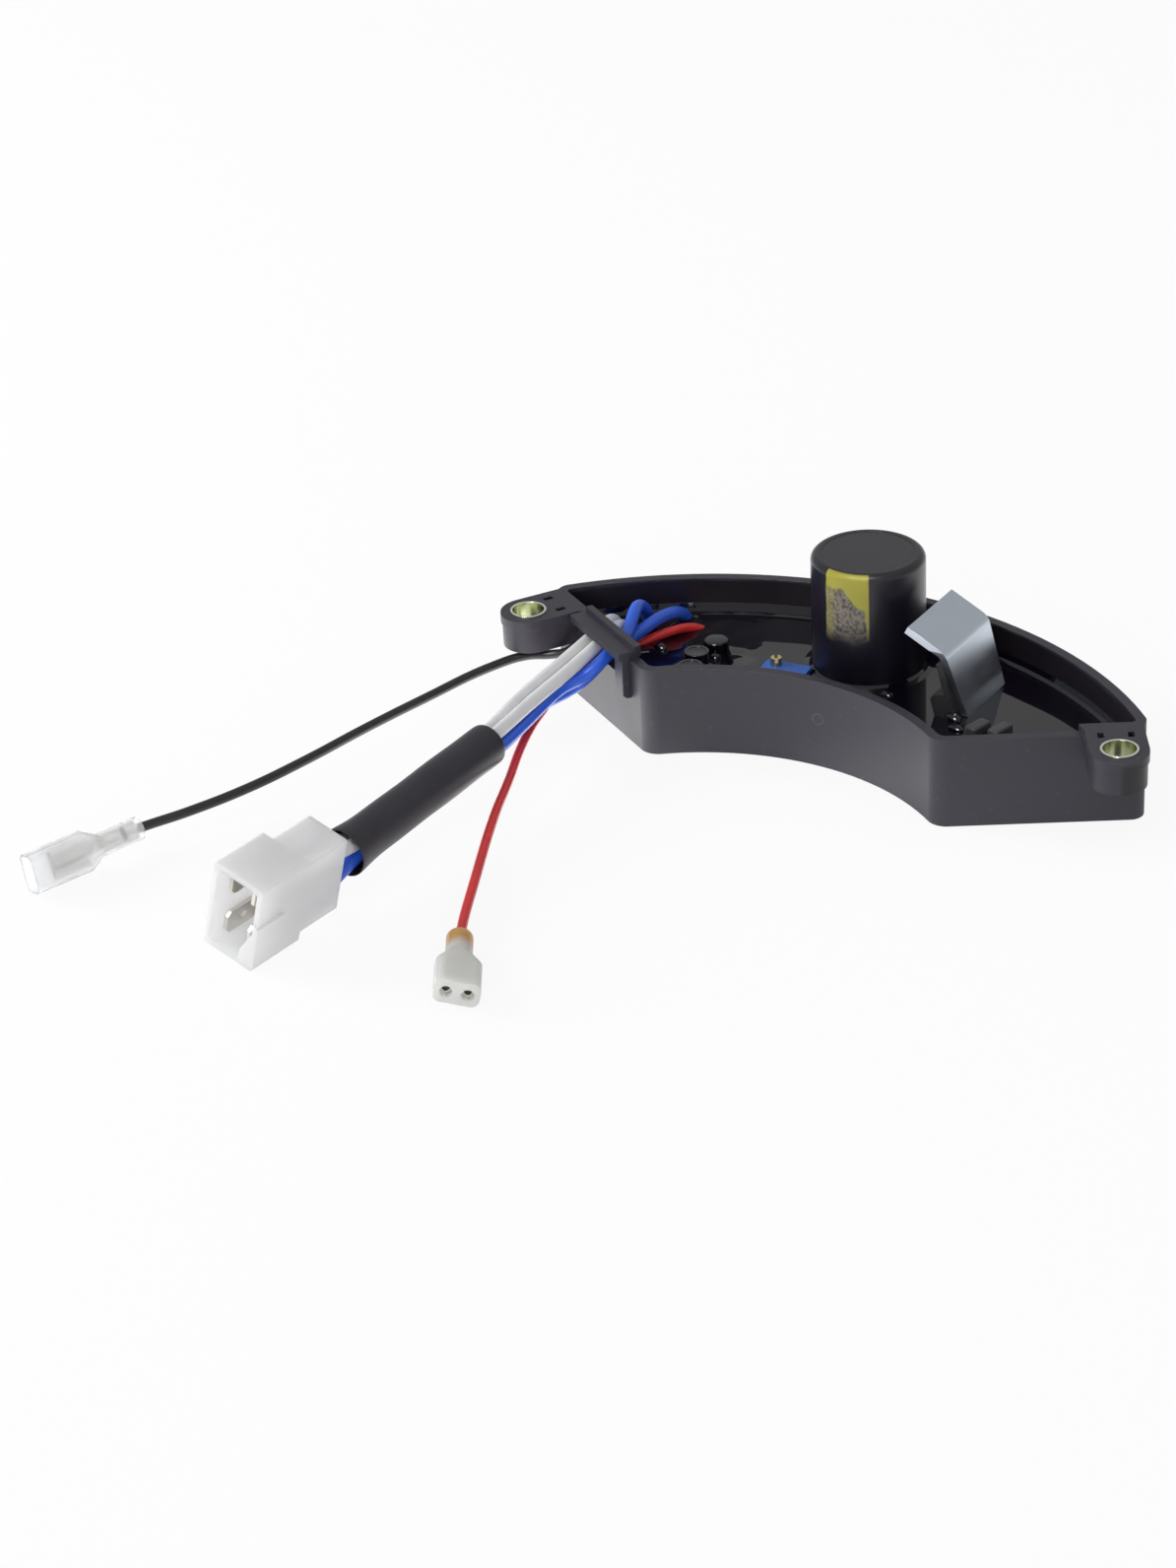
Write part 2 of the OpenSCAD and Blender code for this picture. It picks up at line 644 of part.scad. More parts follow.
module cable_clip() color(case_color) from_holes() {
    clip_bar();
    clip_leg(0);
}

module capacitor_pin_set() translate(cap_at) for (x = [-1, 1])
    translate([x * cap_pin_pitch / 2, 0, board_z - pin_under])
        cylinder(d = cap_pin_d, h = board_t + pin_under, $fn = 32);

module trimmer_frame() translate(trim_at + [0, 0, board_top]) rotate(trim_turn) children();

module trimmer_pin_set() trimmer_frame() for (x = [-1, 0, 1])
    translate([x * trim_pin_pitch, 0, -board_t - pin_under])
        cylinder(d = trim_pin_d, h = board_t + pin_under, $fn = 24);

module circuit_board() color([0.12, 0.35, 0.2]) from_holes() difference() {
    translate([0, 0, board_z]) linear_extrude(board_t) plan(wall_t + board_gap);
    capacitor_pin_set();
    trimmer_pin_set();
}

// Profile of resin that climbs a face at radius r, to the given side of that radius
module climb(r, side, h) {
    polygon([
        [r, resin_z - over], [r + side * climb_w, resin_z - over], [r + side * climb_w, resin_z],
        [r + side * climb_w * 0.5, resin_z + h * 0.12], [r + side * climb_w * 0.2, resin_z + h * 0.4],
        [r, resin_z + h]
    ]);
}

module potting() color(resin_color) from_holes() difference() {
    intersection() {
        union() {
            linear_extrude(resin_z) plan(wall_t);
            translate([0, -arc_depth, 0]) rotate_extrude($fn = 180) climb(back_r - wall_t, -1, wall_climb);
            translate(cap_at) rotate_extrude() climb(cap_r - over / 2, 1, can_climb);
        }
        translate([0, 0, floor_t]) linear_extrude(tray_h) plan(wall_t);
    }
    for (s = standoff_spots) translate(spot(s[0], s[1])) cylinder(d = standoff_d, h = board_z);
    translate([0, 0, board_z]) linear_extrude(board_t) plan(wall_t + board_gap);
    capacitor_pin_set();
    trimmer_pin_set();
    translate(cap_at) capacitor_space();
    trimmer_frame() translate([-trim_l / 2, -trim_w / 2, 0]) cube([trim_l, trim_w, trim_h + over]);
    sink_frame() {
        sink_strip();
        moulded_body();
    }
    lead_set();
    small_set();
    film_set();
    diode_set();
    resistor_set();
}

module capacitor_space() {
    translate([0, 0, can_z]) cylinder(r = cap_r, h = cap_h);
    translate([0, 0, board_top - ease]) cylinder(r = seal_r, h = cap_seat + 2 * ease);
}

// Half section of the can, or of the sleeve's outside when grown by the sleeve's thickness
module can_section(r, top, shoulder) difference() {
    translate([0, can_z]) square([r, top - can_z]);
    translate([r - shoulder, top - shoulder]) difference() {
        square(shoulder + over);
        circle(shoulder + ease);
    }
}

module groove_section() translate([can_r + cap_groove, can_z + cap_groove_z]) circle(2 * cap_groove);

module capacitor_can() color([0.75, 0.75, 0.76]) from_holes() translate(cap_at) difference() {
    rotate_extrude() difference() {
        can_section(can_r, cap_top - cap_sleeve_t, cap_round - cap_sleeve_t);
        groove_section();
    }
    translate([0, 0, can_z - over]) cylinder(r = seal_r, h = cap_seal_h + over);
}

module capacitor_sleeve() color([0.05, 0.05, 0.05]) from_holes() translate(cap_at) difference() {
    rotate_extrude() difference() {
        can_section(cap_r, cap_top, cap_round);
        can_section(can_r, cap_top - cap_sleeve_t, cap_round - cap_sleeve_t);
    }
    translate([0, 0, cap_top - over]) cylinder(r = disc_r, h = 2 * over);
}

module capacitor_disc() color([0.1, 0.1, 0.1]) from_holes()
    translate(cap_at + [0, 0, cap_top - cap_sleeve_t]) cylinder(r = disc_r, h = cap_disc_t);

module capacitor_seal() color([0.12, 0.12, 0.12]) from_holes()
    translate(cap_at + [0, 0, board_top]) cylinder(r = seal_r, h = cap_seal_h + cap_seat);

module capacitor_pins() color(tin_color) from_holes() capacitor_pin_set();

module trimmer_body() color([0.15, 0.35, 0.75]) from_holes() trimmer_frame() difference() {
    translate([-trim_l / 2, -trim_w / 2, 0]) cube([trim_l, trim_w, trim_h]);
    translate([screw_at[0], screw_at[1], trim_h - screw_in])
        cylinder(d = screw_d + 2 * screw_gap, h = screw_in + over, $fn = 48);
}

module trimmer_screw() color([0.8, 0.65, 0.3]) from_holes() trimmer_frame()
    translate([screw_at[0], screw_at[1], trim_h - screw_in]) difference() {
        cylinder(d = screw_d, h = screw_in + screw_h, $fn = 48);
        rotate(screw_slot_turn) translate([-screw_d, -screw_slot_w / 2, screw_in + screw_h - screw_slot_h])
            cube([2 * screw_d, screw_slot_w, screw_slot_h + over]);
    }

module trimmer_pins() color(tin_color) from_holes() trimmer_pin_set();

// Frame at the middle of the heat sink's foot, on the board
module sink_frame() translate(sink_at + [0, 0, board_top]) children();

// Points of the fold's arc, from the leg to the flap, for a face at the given depth
function fold_arc(depth) =
    let (half = sink_turn / 2, back = sink_bend_r / cos(half),
         mitre = unit(unit(-sink_up) + unit(sink_end - sink_fold)),
         centre = sink_fold + back * mitre)
    [for (i = [0 : 6]) let (a = sink_lean + sink_turn * i / 6)
        centre + (sink_bend_r - depth) * [cos(a), sin(a)]];

module sink_profile() {
    flap_n = [sin(sink_rise), cos(sink_rise)];
    inner_foot = [-sink_t / cos(sink_lean), 0];
    outer = concat([[0, 0]], fold_arc(0), [sink_end]);
    inner = concat([inner_foot], fold_arc(sink_t), [sink_end - sink_t * flap_n]);
    count = len(inner);
    polygon(concat(outer, [for (i = [1 : count]) inner[count - i]]));
}

module sink_strip() difference() {
    translate([0, sink_w / 2, 0]) rotate([90, 0, 0]) linear_extrude(sink_w) sink_profile();
    rotate([90, 0, 90]) translate([0, 0, -2 * sink_fold_h]) linear_extrude(4 * sink_fold_h)
        polygon([[-sink_w / 2 - over, -over], [-sink_w / 2 + sink_taper, -over],
                 [-sink_w / 2 + sink_taper, 0], [-sink_w / 2, sink_fold_h],
                 [-sink_w / 2 - over, sink_fold_h]]);
}

// Frame on the inner face of the leg: X away from the strip, Y along its width, Z up the leg
module leg_frame() rotate([0, -sink_lean, 0]) translate([-sink_t, tran_y, 0]) mirror([1, 0, 0]) children();

module moulded_body() leg_frame() translate([0, 0, tran_top - tran_tab_h]) {
    body_x = tran_tab_t + tran_body_t;
    difference() {
        translate([0, tran_w / 2, 0]) rotate([90, 0, 0]) linear_extrude(tran_w)
            polygon([[0, 0], [body_x, 0], [body_x, tran_body_h - tran_chamfer],
                     [body_x - tran_chamfer, tran_body_h], [tran_tab_t, tran_body_h],
                     [tran_tab_t, tran_tab_h], [0, tran_tab_h]]);
        translate([-over, 0, (tran_tab_h + tran_body_h) / 2]) rotate([0, 90, 0])
            cylinder(d = tran_hole_d, h = tran_tab_t + 2 * over, $fn = 48);
    }
}

module lead_set() sink_frame() difference() {
    leg_frame() for (y = [-1, 0, 1])
        translate([tran_tab_t, y * lead_pitch - lead_w / 2, -over])
            cube([lead_t, lead_w, tran_top - tran_tab_h + over]);
    translate([-sink_fold_h, -sink_w, -2 * over]) cube([2 * sink_fold_h, 2 * sink_w, 2 * over]);
}

module heat_sink() color([0.8, 0.81, 0.83]) from_holes() sink_frame() sink_strip();

module transistor_body() color([0.08, 0.08, 0.08]) from_holes() sink_frame() moulded_body();

module transistor_frame() color(tin_color) from_holes() lead_set();

module small_set() for (s = elco_spots) translate(spot(s[0], s[1]) + [0, 0, board_top])
    rotate_extrude($fn = 48) difference() {
        square([elco_d / 2, elco_h]);
        translate([elco_d / 2 - elco_round, elco_h - elco_round]) difference() {
            square(elco_round + over);
            circle(elco_round + ease, $fn = 32);
        }
    }

module small_capacitors() color([0.06, 0.06, 0.07]) from_holes() small_set();

module film_set() for (s = film_spots) translate(spot(s[0], s[1]) + [0, 0, board_top])
    rotate(film_turn) linear_extrude(film_h) round_rect(film_l, film_w, film_round);

module film_capacitors() color([0.1, 0.1, 0.11]) from_holes() film_set();

// A part with its leads bent down to the board, lying along the radius at one angle
module axial(a, out, d, l, lead) {
    lift = axial_gap + d / 2;
    bend = 2 * lead;
    translate(spot(a, out) + [0, 0, board_top]) rotate(-a) {
        translate([0, l / 2, lift]) rotate([90, 0, 0]) cylinder(d = d, h = l, $fn = 32);
        for (side = [0, 1]) mirror([0, side, 0]) {
            translate([0, axial_pitch / 2 - bend, lift]) rotate([90, 0, 0])
                cylinder(d = lead, h = axial_pitch / 2 - bend - l / 2, $fn = 16);
            translate([0, axial_pitch / 2 - bend, lift - bend]) rotate([90, 0, 90])
                rotate_extrude(angle = 90, $fn = 32) translate([bend, 0]) circle(d = lead, $fn = 16);
            translate([0, axial_pitch / 2, 0]) cylinder(d = lead, h = lift - bend, $fn = 16);
        }
    }
}

module diode_set() for (a = diode_angles) axial(a, diode_out, diode_d, diode_l, diode_lead);

module rectifier_diodes() color([0.1, 0.1, 0.1]) from_holes() diode_set();

module resistor_set() for (a = resistor_angles)
    axial(a, resistor_out, resistor_d, resistor_l, resistor_lead);

module resistors() color([0.75, 0.65, 0.5]) from_holes() resistor_set();

// Direction of a route at one of its points, and the ring of points about it
function route_dir(p, i) = unit(
    (i > 0 ? unit(p[i] - p[i - 1]) : [0, 0, 0]) + (i < len(p) - 1 ? unit(p[i + 1] - p[i]) : [0, 0, 0]));
function ring(c, t, r, sides) =
    let (u = unit(cross(t, [1, 0.2, 0])), v = cross(t, u))
    [for (k = [0 : sides - 1]) c + r * (cos(360 * k / sides) * u + sin(360 * k / sides) * v)];

module tube(route, d, sides = 8) {
    n = len(route);
    points = [for (i = [0 : n - 1]) each ring(route[i], route_dir(route, i), d / 2, sides)];
    faces = concat(
        [[for (k = [0 : sides - 1]) k]],
        [for (i = [0 : n - 2], k = [0 : sides - 1])
            let (a = i * sides, b = a + sides, next = (k + 1) % sides) [a + k, b + k, b + next, a + next]],
        [[for (k = [0 : sides - 1]) n * sides - 1 - k]]);
    polyhedron(points, faces, convexity = 8);
}

module white_wire_a() color([0.93, 0.93, 0.93]) from_holes() tube(white_a_route, white_d);

module white_wire_b() color([0.93, 0.93, 0.93]) from_holes() tube(white_b_route, white_d);

module blue_wire_a() color([0.15, 0.3, 0.85]) from_holes() tube(blue_a_route, blue_d);

module blue_wire_b() color([0.15, 0.3, 0.85]) from_holes() tube(blue_b_route, blue_d);

module red_lead() color([0.8, 0.1, 0.12]) from_holes() tube(red_route, red_d);

module black_lead() color([0.05, 0.05, 0.06]) from_holes() tube(black_route, black_d);

module harness_sleeve() color([0.05, 0.05, 0.05]) from_holes() {
    axis = unit(sleeve_to - sleeve_from);
    translate(sleeve_from) rotate([0, acos(axis[2]), atan2(axis[1], axis[0])]) difference() {
        cylinder(d = sleeve_bore + 2 * sleeve_wall, h = sleeve_l);
        translate([0, 0, -over]) cylinder(d = sleeve_bore, h = sleeve_l + 2 * over);
    }
}

// Frame at the middle of the connector's mouth, Y into the connector
module conn_frame() translate(conn_at) rotate(conn_turn) children();

// Rounded rectangle, with its corners in short straight steps
module round_rect(w, h, r) {
    steps = 4;
    polygon([for (q = [0 : 3], i = [0 : steps]) let (
        a = 90 * q + 90 * i / steps, sx = (q == 0 || q == 3) ? 1 : -1, sz = q < 2 ? 1 : -1)
        [sx * (w / 2 - r) + r * cos(a), sz * (h / 2 - r) + r * sin(a)]]);
}

// Extrudes an outline in X and Z along Y
module along_y(from, l) translate([0, from + l, 0]) rotate([90, 0, 0]) linear_extrude(l) children();

// Side of the key in the shroud's lower corner, in the shroud's section
module key_outline() {
    x = conn_w / 2 - conn_wall;
    z = conn_h / 2 - conn_wall;
    polygon([[x - key_w, -z - over], [x - key_w, key_low - z], [x, key_high - z],
             [x + over, key_high - z], [x + over, -z - over]]);
}

module shroud_inside() difference() {
    along_y(-over, conn_l - conn_web + over)
        round_rect(conn_w - 2 * conn_wall, conn_h - 2 * conn_wall, conn_round);
    along_y(-2 * over, key_l + 2 * over) key_outline();
}

module connector_housing() color(nylon_color) from_holes() conn_frame() difference() {
    union() {
        along_y(0, conn_l) round_rect(conn_w, conn_h, conn_round);
        along_y(conn_l - over, rear_l + over) translate([rear_dx, rear_dz])
            round_rect(rear_w, rear_h, conn_round);
    }
    shroud_inside();
    translate([conn_w / 2 - conn_wall - over, -over, side_slit_z])
        cube([conn_wall + 2 * over, side_slit_l + over, side_slit]);
    for (x = [-1, 1], z = [-1, 1])
        along_y(conn_l - conn_web - over, rear_l + conn_web + 2 * over)
            translate([bore_mid[0] + x * bore_dx / 2, bore_mid[1] + z * bore_dz / 2])
                circle(d = wire_bore, $fn = 48);
}

// Outline of a blade from its root at the origin, X towards the mouth
module blade_outline() difference() {
    polygon([[0, -blade_w / 2], [blade_l - blade_tip, -blade_w / 2], [blade_l, blade_tip - blade_w / 2],
             [blade_l, blade_w / 2 - blade_tip], [blade_l - blade_tip, blade_w / 2], [0, blade_w / 2]]);
    translate([blade_l / 2, 0]) circle(d = blade_hole, $fn = 32);
}

// Each blade stands on a foot that lies on the web, and its tail runs on into the bore behind
module connector_blades() color(tin_color) from_holes() conn_frame() {
    root = conn_l - conn_web;
    for (x = [-1, 1], z = [-1, 1]) {
        bx = blade_mid[0] + x * blade_dx / 2;
        bz = blade_mid[1] + z * blade_dz / 2;
        tx = bore_mid[0] + x * bore_dx / 2;
        tz = bore_mid[1] + z * bore_dz / 2;
        low = min(bz - blade_w / 2, tz - tail_w / 2);
        high = max(bz + blade_w / 2, tz + tail_w / 2);
        translate([bx - blade_t / 2, root, bz]) rotate([90, 0, 90]) mirror([1, 0, 0])
            linear_extrude(blade_t) blade_outline();
        translate([bx - blade_t / 2, root - blade_t, low]) cube([tx - bx + blade_t, blade_t, high - low]);
        translate([tx - blade_t / 2, root - blade_t, tz - tail_w / 2])
            cube([blade_t, tail_l + blade_t, tail_w]);
    }
}

// Metal of a receptacle from its rear end at the origin: crimp, neck and rolled edges towards -Y
module receptacle(barrel_l, neck_l) {
    difference() {
        along_y(-crimp_l - crimp_from_end, crimp_l) circle(d = crimp_d, $fn = 48);
        along_y(-crimp_l / 2 - crimp_from_end, crimp_l) circle(d = crimp_d - 2 * recept_t, $fn = 48);
        translate([-crimp_d, -crimp_from_end - grip_l - crimp_gap, crimp_strip - crimp_d / 2])
            cube([2 * crimp_d, crimp_gap, crimp_d]);
    }
    along_y(-barrel_l - neck_l - over, neck_l + barrel_l - crimp_l + over)
        translate([-crimp_d / 2 + recept_t, -roll_d / 2]) square([crimp_d - 2 * recept_t, recept_t]);
    along_y(-barrel_l - neck_l - roll_l, roll_l) difference() {
        union() {
            translate([-roll_x, -roll_d / 2]) square([2 * roll_x, recept_t]);
            for (x = [-1, 1]) translate([x * roll_x, 0]) circle(d = roll_d, $fn = 32);
        }
        for (x = [-1, 1]) translate([x * roll_x, 0]) circle(d = roll_d - 2 * recept_t, $fn = 32);
    }
}

// Skin or core of a receptacle's cover: barrel, shoulder and wide part towards -Y
module cover_form(w, h, d, barrel_l, neck_l, box_l, round) {
    along_y(-barrel_l, barrel_l) circle(d = d, $fn = 48);
    hull() {
        along_y(-barrel_l, 0.01) circle(d = d, $fn = 32);
        along_y(-barrel_l - neck_l, 0.01) round_rect(w, h, round);
    }
    along_y(-barrel_l - neck_l - box_l, box_l) round_rect(w, h, round);
}

module cover(w, h, d, barrel_l, neck_l, box_l, wall, front_t) difference() {
    cover_form(w, h, d, barrel_l, neck_l, box_l, cover_round);
    cover_form(w - 2 * wall, h - 2 * wall, d - 2 * cover_wall, barrel_l, neck_l, box_l - front_t,
               cover_round - wall);
}

module red_frame() translate(red_at) rotate(red_turn) children();

module red_receptacle() color(tin_color) from_holes() red_frame() mirror([0, 0, 1])
    receptacle(red_barrel_l, red_neck_l);

module red_cover() color(nylon_color) from_holes() red_frame() difference() {
    cover(red_cover_w, red_cover_h, red_barrel_d, red_barrel_l, red_neck_l, red_box_l,
          red_wall, red_front_t);
    along_y(-red_barrel_l - red_neck_l - red_box_l - over, red_front_t + 2 * over)
        for (x = [-1, 1]) translate([x * roll_x, 0]) circle(d = red_hole_d, $fn = 48);
}

module black_frame() translate(black_at) rotate(black_turn) children();

module black_receptacle() color(tin_color) from_holes() black_frame()
    receptacle(black_barrel_l, black_neck_l);

module black_cover() color(nylon_color) from_holes() black_frame()
    cover(black_cover_w, black_cover_h, black_barrel_d, black_barrel_l, black_neck_l, black_box_l,
          cover_wall, 0);

case();
mount_bushes();
cable_clip();
circuit_board();
potting();
capacitor_can();
capacitor_sleeve();
capacitor_disc();
capacitor_seal();
capacitor_pins();
trimmer_body();
trimmer_screw();
trimmer_pins();
heat_sink();
transistor_body();
transistor_frame();
small_capacitors();
film_capacitors();
rectifier_diodes();
resistors();
white_wire_a();
white_wire_b();
blue_wire_a();
blue_wire_b();
red_lead();
black_lead();
harness_sleeve();
connector_housing();
connector_blades();
red_receptacle();
red_cover();
black_receptacle();
black_cover();
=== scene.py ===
# %% [markdown]
# # Potted voltage regulator
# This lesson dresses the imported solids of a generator's voltage regulator. The solids stay where the
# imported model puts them. The leads, the soft harness sleeve, the drops of resin and the small capacitors
# that stand in it are modelled here, and every surface gets a finish made of shader nodes.

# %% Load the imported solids
import math

import bpy
from mathutils import Matrix, Vector
from mathutils.geometry import interpolate_bezier


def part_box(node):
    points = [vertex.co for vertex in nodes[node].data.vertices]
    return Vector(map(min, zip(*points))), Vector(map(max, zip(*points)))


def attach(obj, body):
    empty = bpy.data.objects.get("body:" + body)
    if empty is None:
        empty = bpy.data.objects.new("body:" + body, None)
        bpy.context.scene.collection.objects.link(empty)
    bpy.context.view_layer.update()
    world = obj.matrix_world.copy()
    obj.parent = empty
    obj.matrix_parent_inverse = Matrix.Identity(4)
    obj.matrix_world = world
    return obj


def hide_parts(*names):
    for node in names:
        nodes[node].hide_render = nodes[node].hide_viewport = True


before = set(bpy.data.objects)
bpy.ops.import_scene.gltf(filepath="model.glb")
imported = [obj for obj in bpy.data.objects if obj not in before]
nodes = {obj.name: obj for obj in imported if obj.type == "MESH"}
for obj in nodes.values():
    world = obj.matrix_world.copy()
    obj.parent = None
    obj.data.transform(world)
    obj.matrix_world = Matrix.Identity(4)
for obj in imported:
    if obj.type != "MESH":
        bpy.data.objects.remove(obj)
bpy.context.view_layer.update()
bpy.ops.object.select_all(action="DESELECT")

# %% [markdown]
# ## Camera
# The photograph was taken from the front right, a little above the part. A camera could be turned by hand
# until the picture fits. This one was worked out from the straight edges and the two mounting holes, so
# the three directions below are the picture's own right, up and forward. The long side of the sensor is
# the picture's height.

# %% Place the camera
RIGHT = Vector((0.8511, 0.5232, -0.0434)).normalized()
FORWARD = Vector((-0.4769, 0.7359, -0.4806)).normalized()
UP = RIGHT.cross(FORWARD).normalized()
CAMERA_AT = (0.33144, -0.60862, 0.37038)
LENS_MM, SENSOR_MM = 90.55, 36

camera = bpy.data.objects.new("camera", bpy.data.cameras.new("camera"))
bpy.context.scene.collection.objects.link(camera)
camera.data.lens, camera.data.sensor_width = LENS_MM, SENSOR_MM
camera.data.clip_start = 0.01
turn = Matrix((RIGHT, UP, -FORWARD)).transposed().to_4x4()
camera.matrix_world = Matrix.Translation(CAMERA_AT) @ turn
bpy.context.scene.camera = camera
print("camera at", [round(v, 3) for v in camera.location])

# %% [markdown]
# ## Working helpers
# Places are given in millimetres from the middle between the mounting holes. A new piece is built with
# modifiers, which are then applied, and like pieces are joined into one that rides on the regulator.

# %% Places, modifiers and joining
HOLES_TO_MIDDLE = 15.749


def in_frame(x, y, z):
    return Vector((x, y - HOLES_TO_MIDDLE, z)) / 1000


def deselect():
    if bpy.context.mode != "OBJECT":
        bpy.ops.object.mode_set(mode="OBJECT")
    bpy.ops.object.select_all(action="DESELECT")


def apply_all(piece):
    deselect()
    piece.select_set(True)
    bpy.context.view_layer.objects.active = piece
    bpy.ops.object.transform_apply(location=True, rotation=True, scale=True)
    for modifier in list(piece.modifiers):
        bpy.ops.object.modifier_apply(modifier=modifier.name)
    return piece


def join(pieces, name):
    deselect()
    for piece in pieces:
        piece.select_set(True)
    bpy.context.view_layer.objects.active = pieces[0]
    bpy.ops.object.join()
    whole = bpy.context.object
    whole.name = name
    bpy.ops.object.transform_apply(location=True, rotation=True, scale=True)
    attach(whole, "regulator")
    return whole


print("middle of the holes:", in_frame(0, 0, 0))

# %% [markdown]
# ## Harness sleeve
# A soft black tube holds the four connector wires together. A plain cylinder looks too stiff, so a ring
# is extruded along the bundle in short steps, each a little wider or narrower than the last. The skin
# then gets its thickness from Solidify, and its mouth opens where the wires spread.

# %% Model the harness sleeve
SLEEVE_FROM = in_frame(-48.8, -40.6, 13)
SLEEVE_TO = in_frame(-52.25, -85.4, 10.5)
SLEEVE_RADIUS, SLEEVE_WALL = 0.0039, 0.00045
SLEEVE_STEPS = [1.0, 0.985, 0.98, 0.995, 1.01, 1.0, 0.98, 0.985, 1.005, 1.01, 1.0, 1.06, 1.19]


def soft_sleeve():
    along = SLEEVE_TO - SLEEVE_FROM
    axis = along.normalized()
    deselect()
    bpy.ops.mesh.primitive_circle_add(vertices=40, radius=SLEEVE_RADIUS, location=SLEEVE_FROM,
                                      rotation=axis.to_track_quat("Z", "Y").to_euler())
    piece = bpy.context.object
    piece.name = "harness_sleeve_skin"
    bpy.ops.object.mode_set(mode="EDIT")
    bpy.ops.mesh.select_all(action="SELECT")
    step = along / (len(SLEEVE_STEPS) - 1)
    centre = SLEEVE_FROM.copy()
    for before, after in zip(SLEEVE_STEPS, SLEEVE_STEPS[1:]):
        bpy.ops.mesh.extrude_region_move(TRANSFORM_OT_translate={"value": step})
        centre += step
        bpy.ops.transform.resize(value=(after / before,) * 3, center_override=centre)
    bpy.ops.mesh.select_all(action="SELECT")
    bpy.ops.mesh.normals_make_consistent(inside=False)
    bpy.ops.object.mode_set(mode="OBJECT")
    wall = piece.modifiers.new("wall", "SOLIDIFY")
    wall.thickness, wall.offset = SLEEVE_WALL, -1
    smooth = piece.modifiers.new("smooth", "SUBSURF")
    smooth.levels = smooth.render_levels = 2
    apply_all(piece)
    bpy.ops.object.shade_smooth_by_angle(angle=math.radians(50))
    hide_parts("harness_sleeve")
    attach(piece, "regulator")
    print("sleeve:", len(piece.data.polygons), "faces")
    return piece


sleeve = soft_sleeve()

# %% [markdown]
# ## Leads
# Six insulated wires leave the resin, squeeze under the clip and run out to the front. A row of cylinders
# would show its joints, so each route is a short list of points with one curve through them. Automatic
# handles keep it smooth, its round bevel makes the insulation, and the finished tube is kept as a mesh.

# %% Routes of the leads
ROUTES = {
    "white_wire_a": [
        (-52, 14, 11.4), (-51.9, 12.2, 14.6), (-51.4, 9.4, 16.6), (-51, 6, 17), (-50.8, 2.6, 16.9),
        (-50.7, -11, 16.2), (-51, -25, 15.3), (-50.5, -40.6, 14), (-52, -61.9, 13), (-53.5, -83.2, 12),
        (-53.9, -86.6, 13.4), (-54.2, -90, 14.7), (-54.9, -96.7, 14.7)],
    "white_wire_b": [
        (-48.9, 12.6, 11.4), (-48.8, 10.7, 14.8), (-48.4, 7.8, 16.7), (-48.1, 4.4, 17), (-47.9, 0.9, 16.9),
        (-47.9, -11, 16.1), (-48.1, -25, 15.4), (-47.8, -40.8, 14.7), (-49.2, -62.1, 13.4),
        (-50.7, -83.4, 12), (-50.3, -87, 12.8), (-50, -90.5, 13.6), (-50.7, -97.1, 13.6)],
    "blue_wire_a": [
        (-49, 20.6, 11.5), (-48.3, 18.6, 14.4), (-47.6, 15.8, 17.6), (-46.9, 12.6, 19.3), (-46, 9.6, 19.2),
        (-45.2, 6.6, 17.9), (-44.4, 3.4, 17), (-44.2, -1.4, 16.9), (-44.2, -3.8, 16.4), (-45, -6.8, 15.2),
        (-46.9, -10, 13.5), (-48.6, -14, 12.9), (-48.6, -20, 12.6), (-48, -28, 12.2), (-47.1, -40.4, 12),
        (-48.9, -61.8, 10.6), (-50.7, -83.2, 9.2), (-51.3, -86.8, 8), (-51.8, -90.3, 7), (-52.5, -97, 7)],
    "blue_wire_b": [
        (-42.7, 25, 11.4), (-42.6, 23.6, 13.4), (-42.6, 21, 15.2), (-43, 17.5, 16.2), (-43.4, 13, 16.6),
        (-44.2, 9.4, 16), (-45.4, 6, 14.9), (-45.9, 2.6, 14.6), (-45.95, -2.2, 14.6), (-46.6, -5, 13.3),
        (-48, -8, 11.5), (-49.5, -11, 10.4), (-50.5, -14.5, 10.2), (-51, -22, 10.8), (-49.8, -40.6, 11.3),
        (-51.6, -61.8, 10.2), (-53.5, -83, 9.2), (-54.8, -86.5, 8.6), (-56, -89.8, 8.1), (-56.7, -96.5, 8.1)],
    "red_lead": [
        (-37, 22.5, 11.6), (-38.8, 19.8, 13.2), (-41.2, 15, 13.8), (-43.6, 11.4, 13.2), (-45.8, 8.6, 12.4),
        (-47.6, 6, 13.4), (-48.2, 3.2, 14.6), (-48.7, -1.4, 14.5), (-49.4, -4, 13.2), (-50.6, -7, 11),
        (-51.8, -10, 9.4), (-52.2, -13.6, 8.6), (-51.6, -17.4, 8.3), (-50.4, -22.6, 8.2), (-47.6, -31.5, 7.8),
        (-43.6, -42, 7), (-39.2, -54, 6.4), (-31.6, -72.5, 4.4), (-23.5, -90.3, 3.2), (-20.8, -94.75, 3.2)],
    "black_lead": [
        (-54.5, 12, 11.4), (-53.4, 9.5, 13.9), (-52.6, 7, 14.7), (-52.5, 4.9, 14.6), (-53.2, 3.2, 14.6),
        (-54.4, 1.6, 14.1), (-56.6, 0.3, 12.4), (-59.6, -0.6, 11.6), (-63.9, -3.2, 11.5), (-67.9, -9, 11),
        (-74.4, -25.1, 9.4), (-79.4, -38.8, 8), (-83.7, -53.1, 6.8), (-88.4, -66.4, 5.8), (-94.1, -78.1, 5),
        (-98.9, -86.6, 4.6), (-100.5, -91.2, 4.6)],
}
WIRE_MM = {"white_wire_a": 2.7, "white_wire_b": 2.7, "blue_wire_a": 2.6, "blue_wire_b": 2.6,
           "red_lead": 1.9, "black_lead": 1.9}
print("routes:", len(ROUTES))


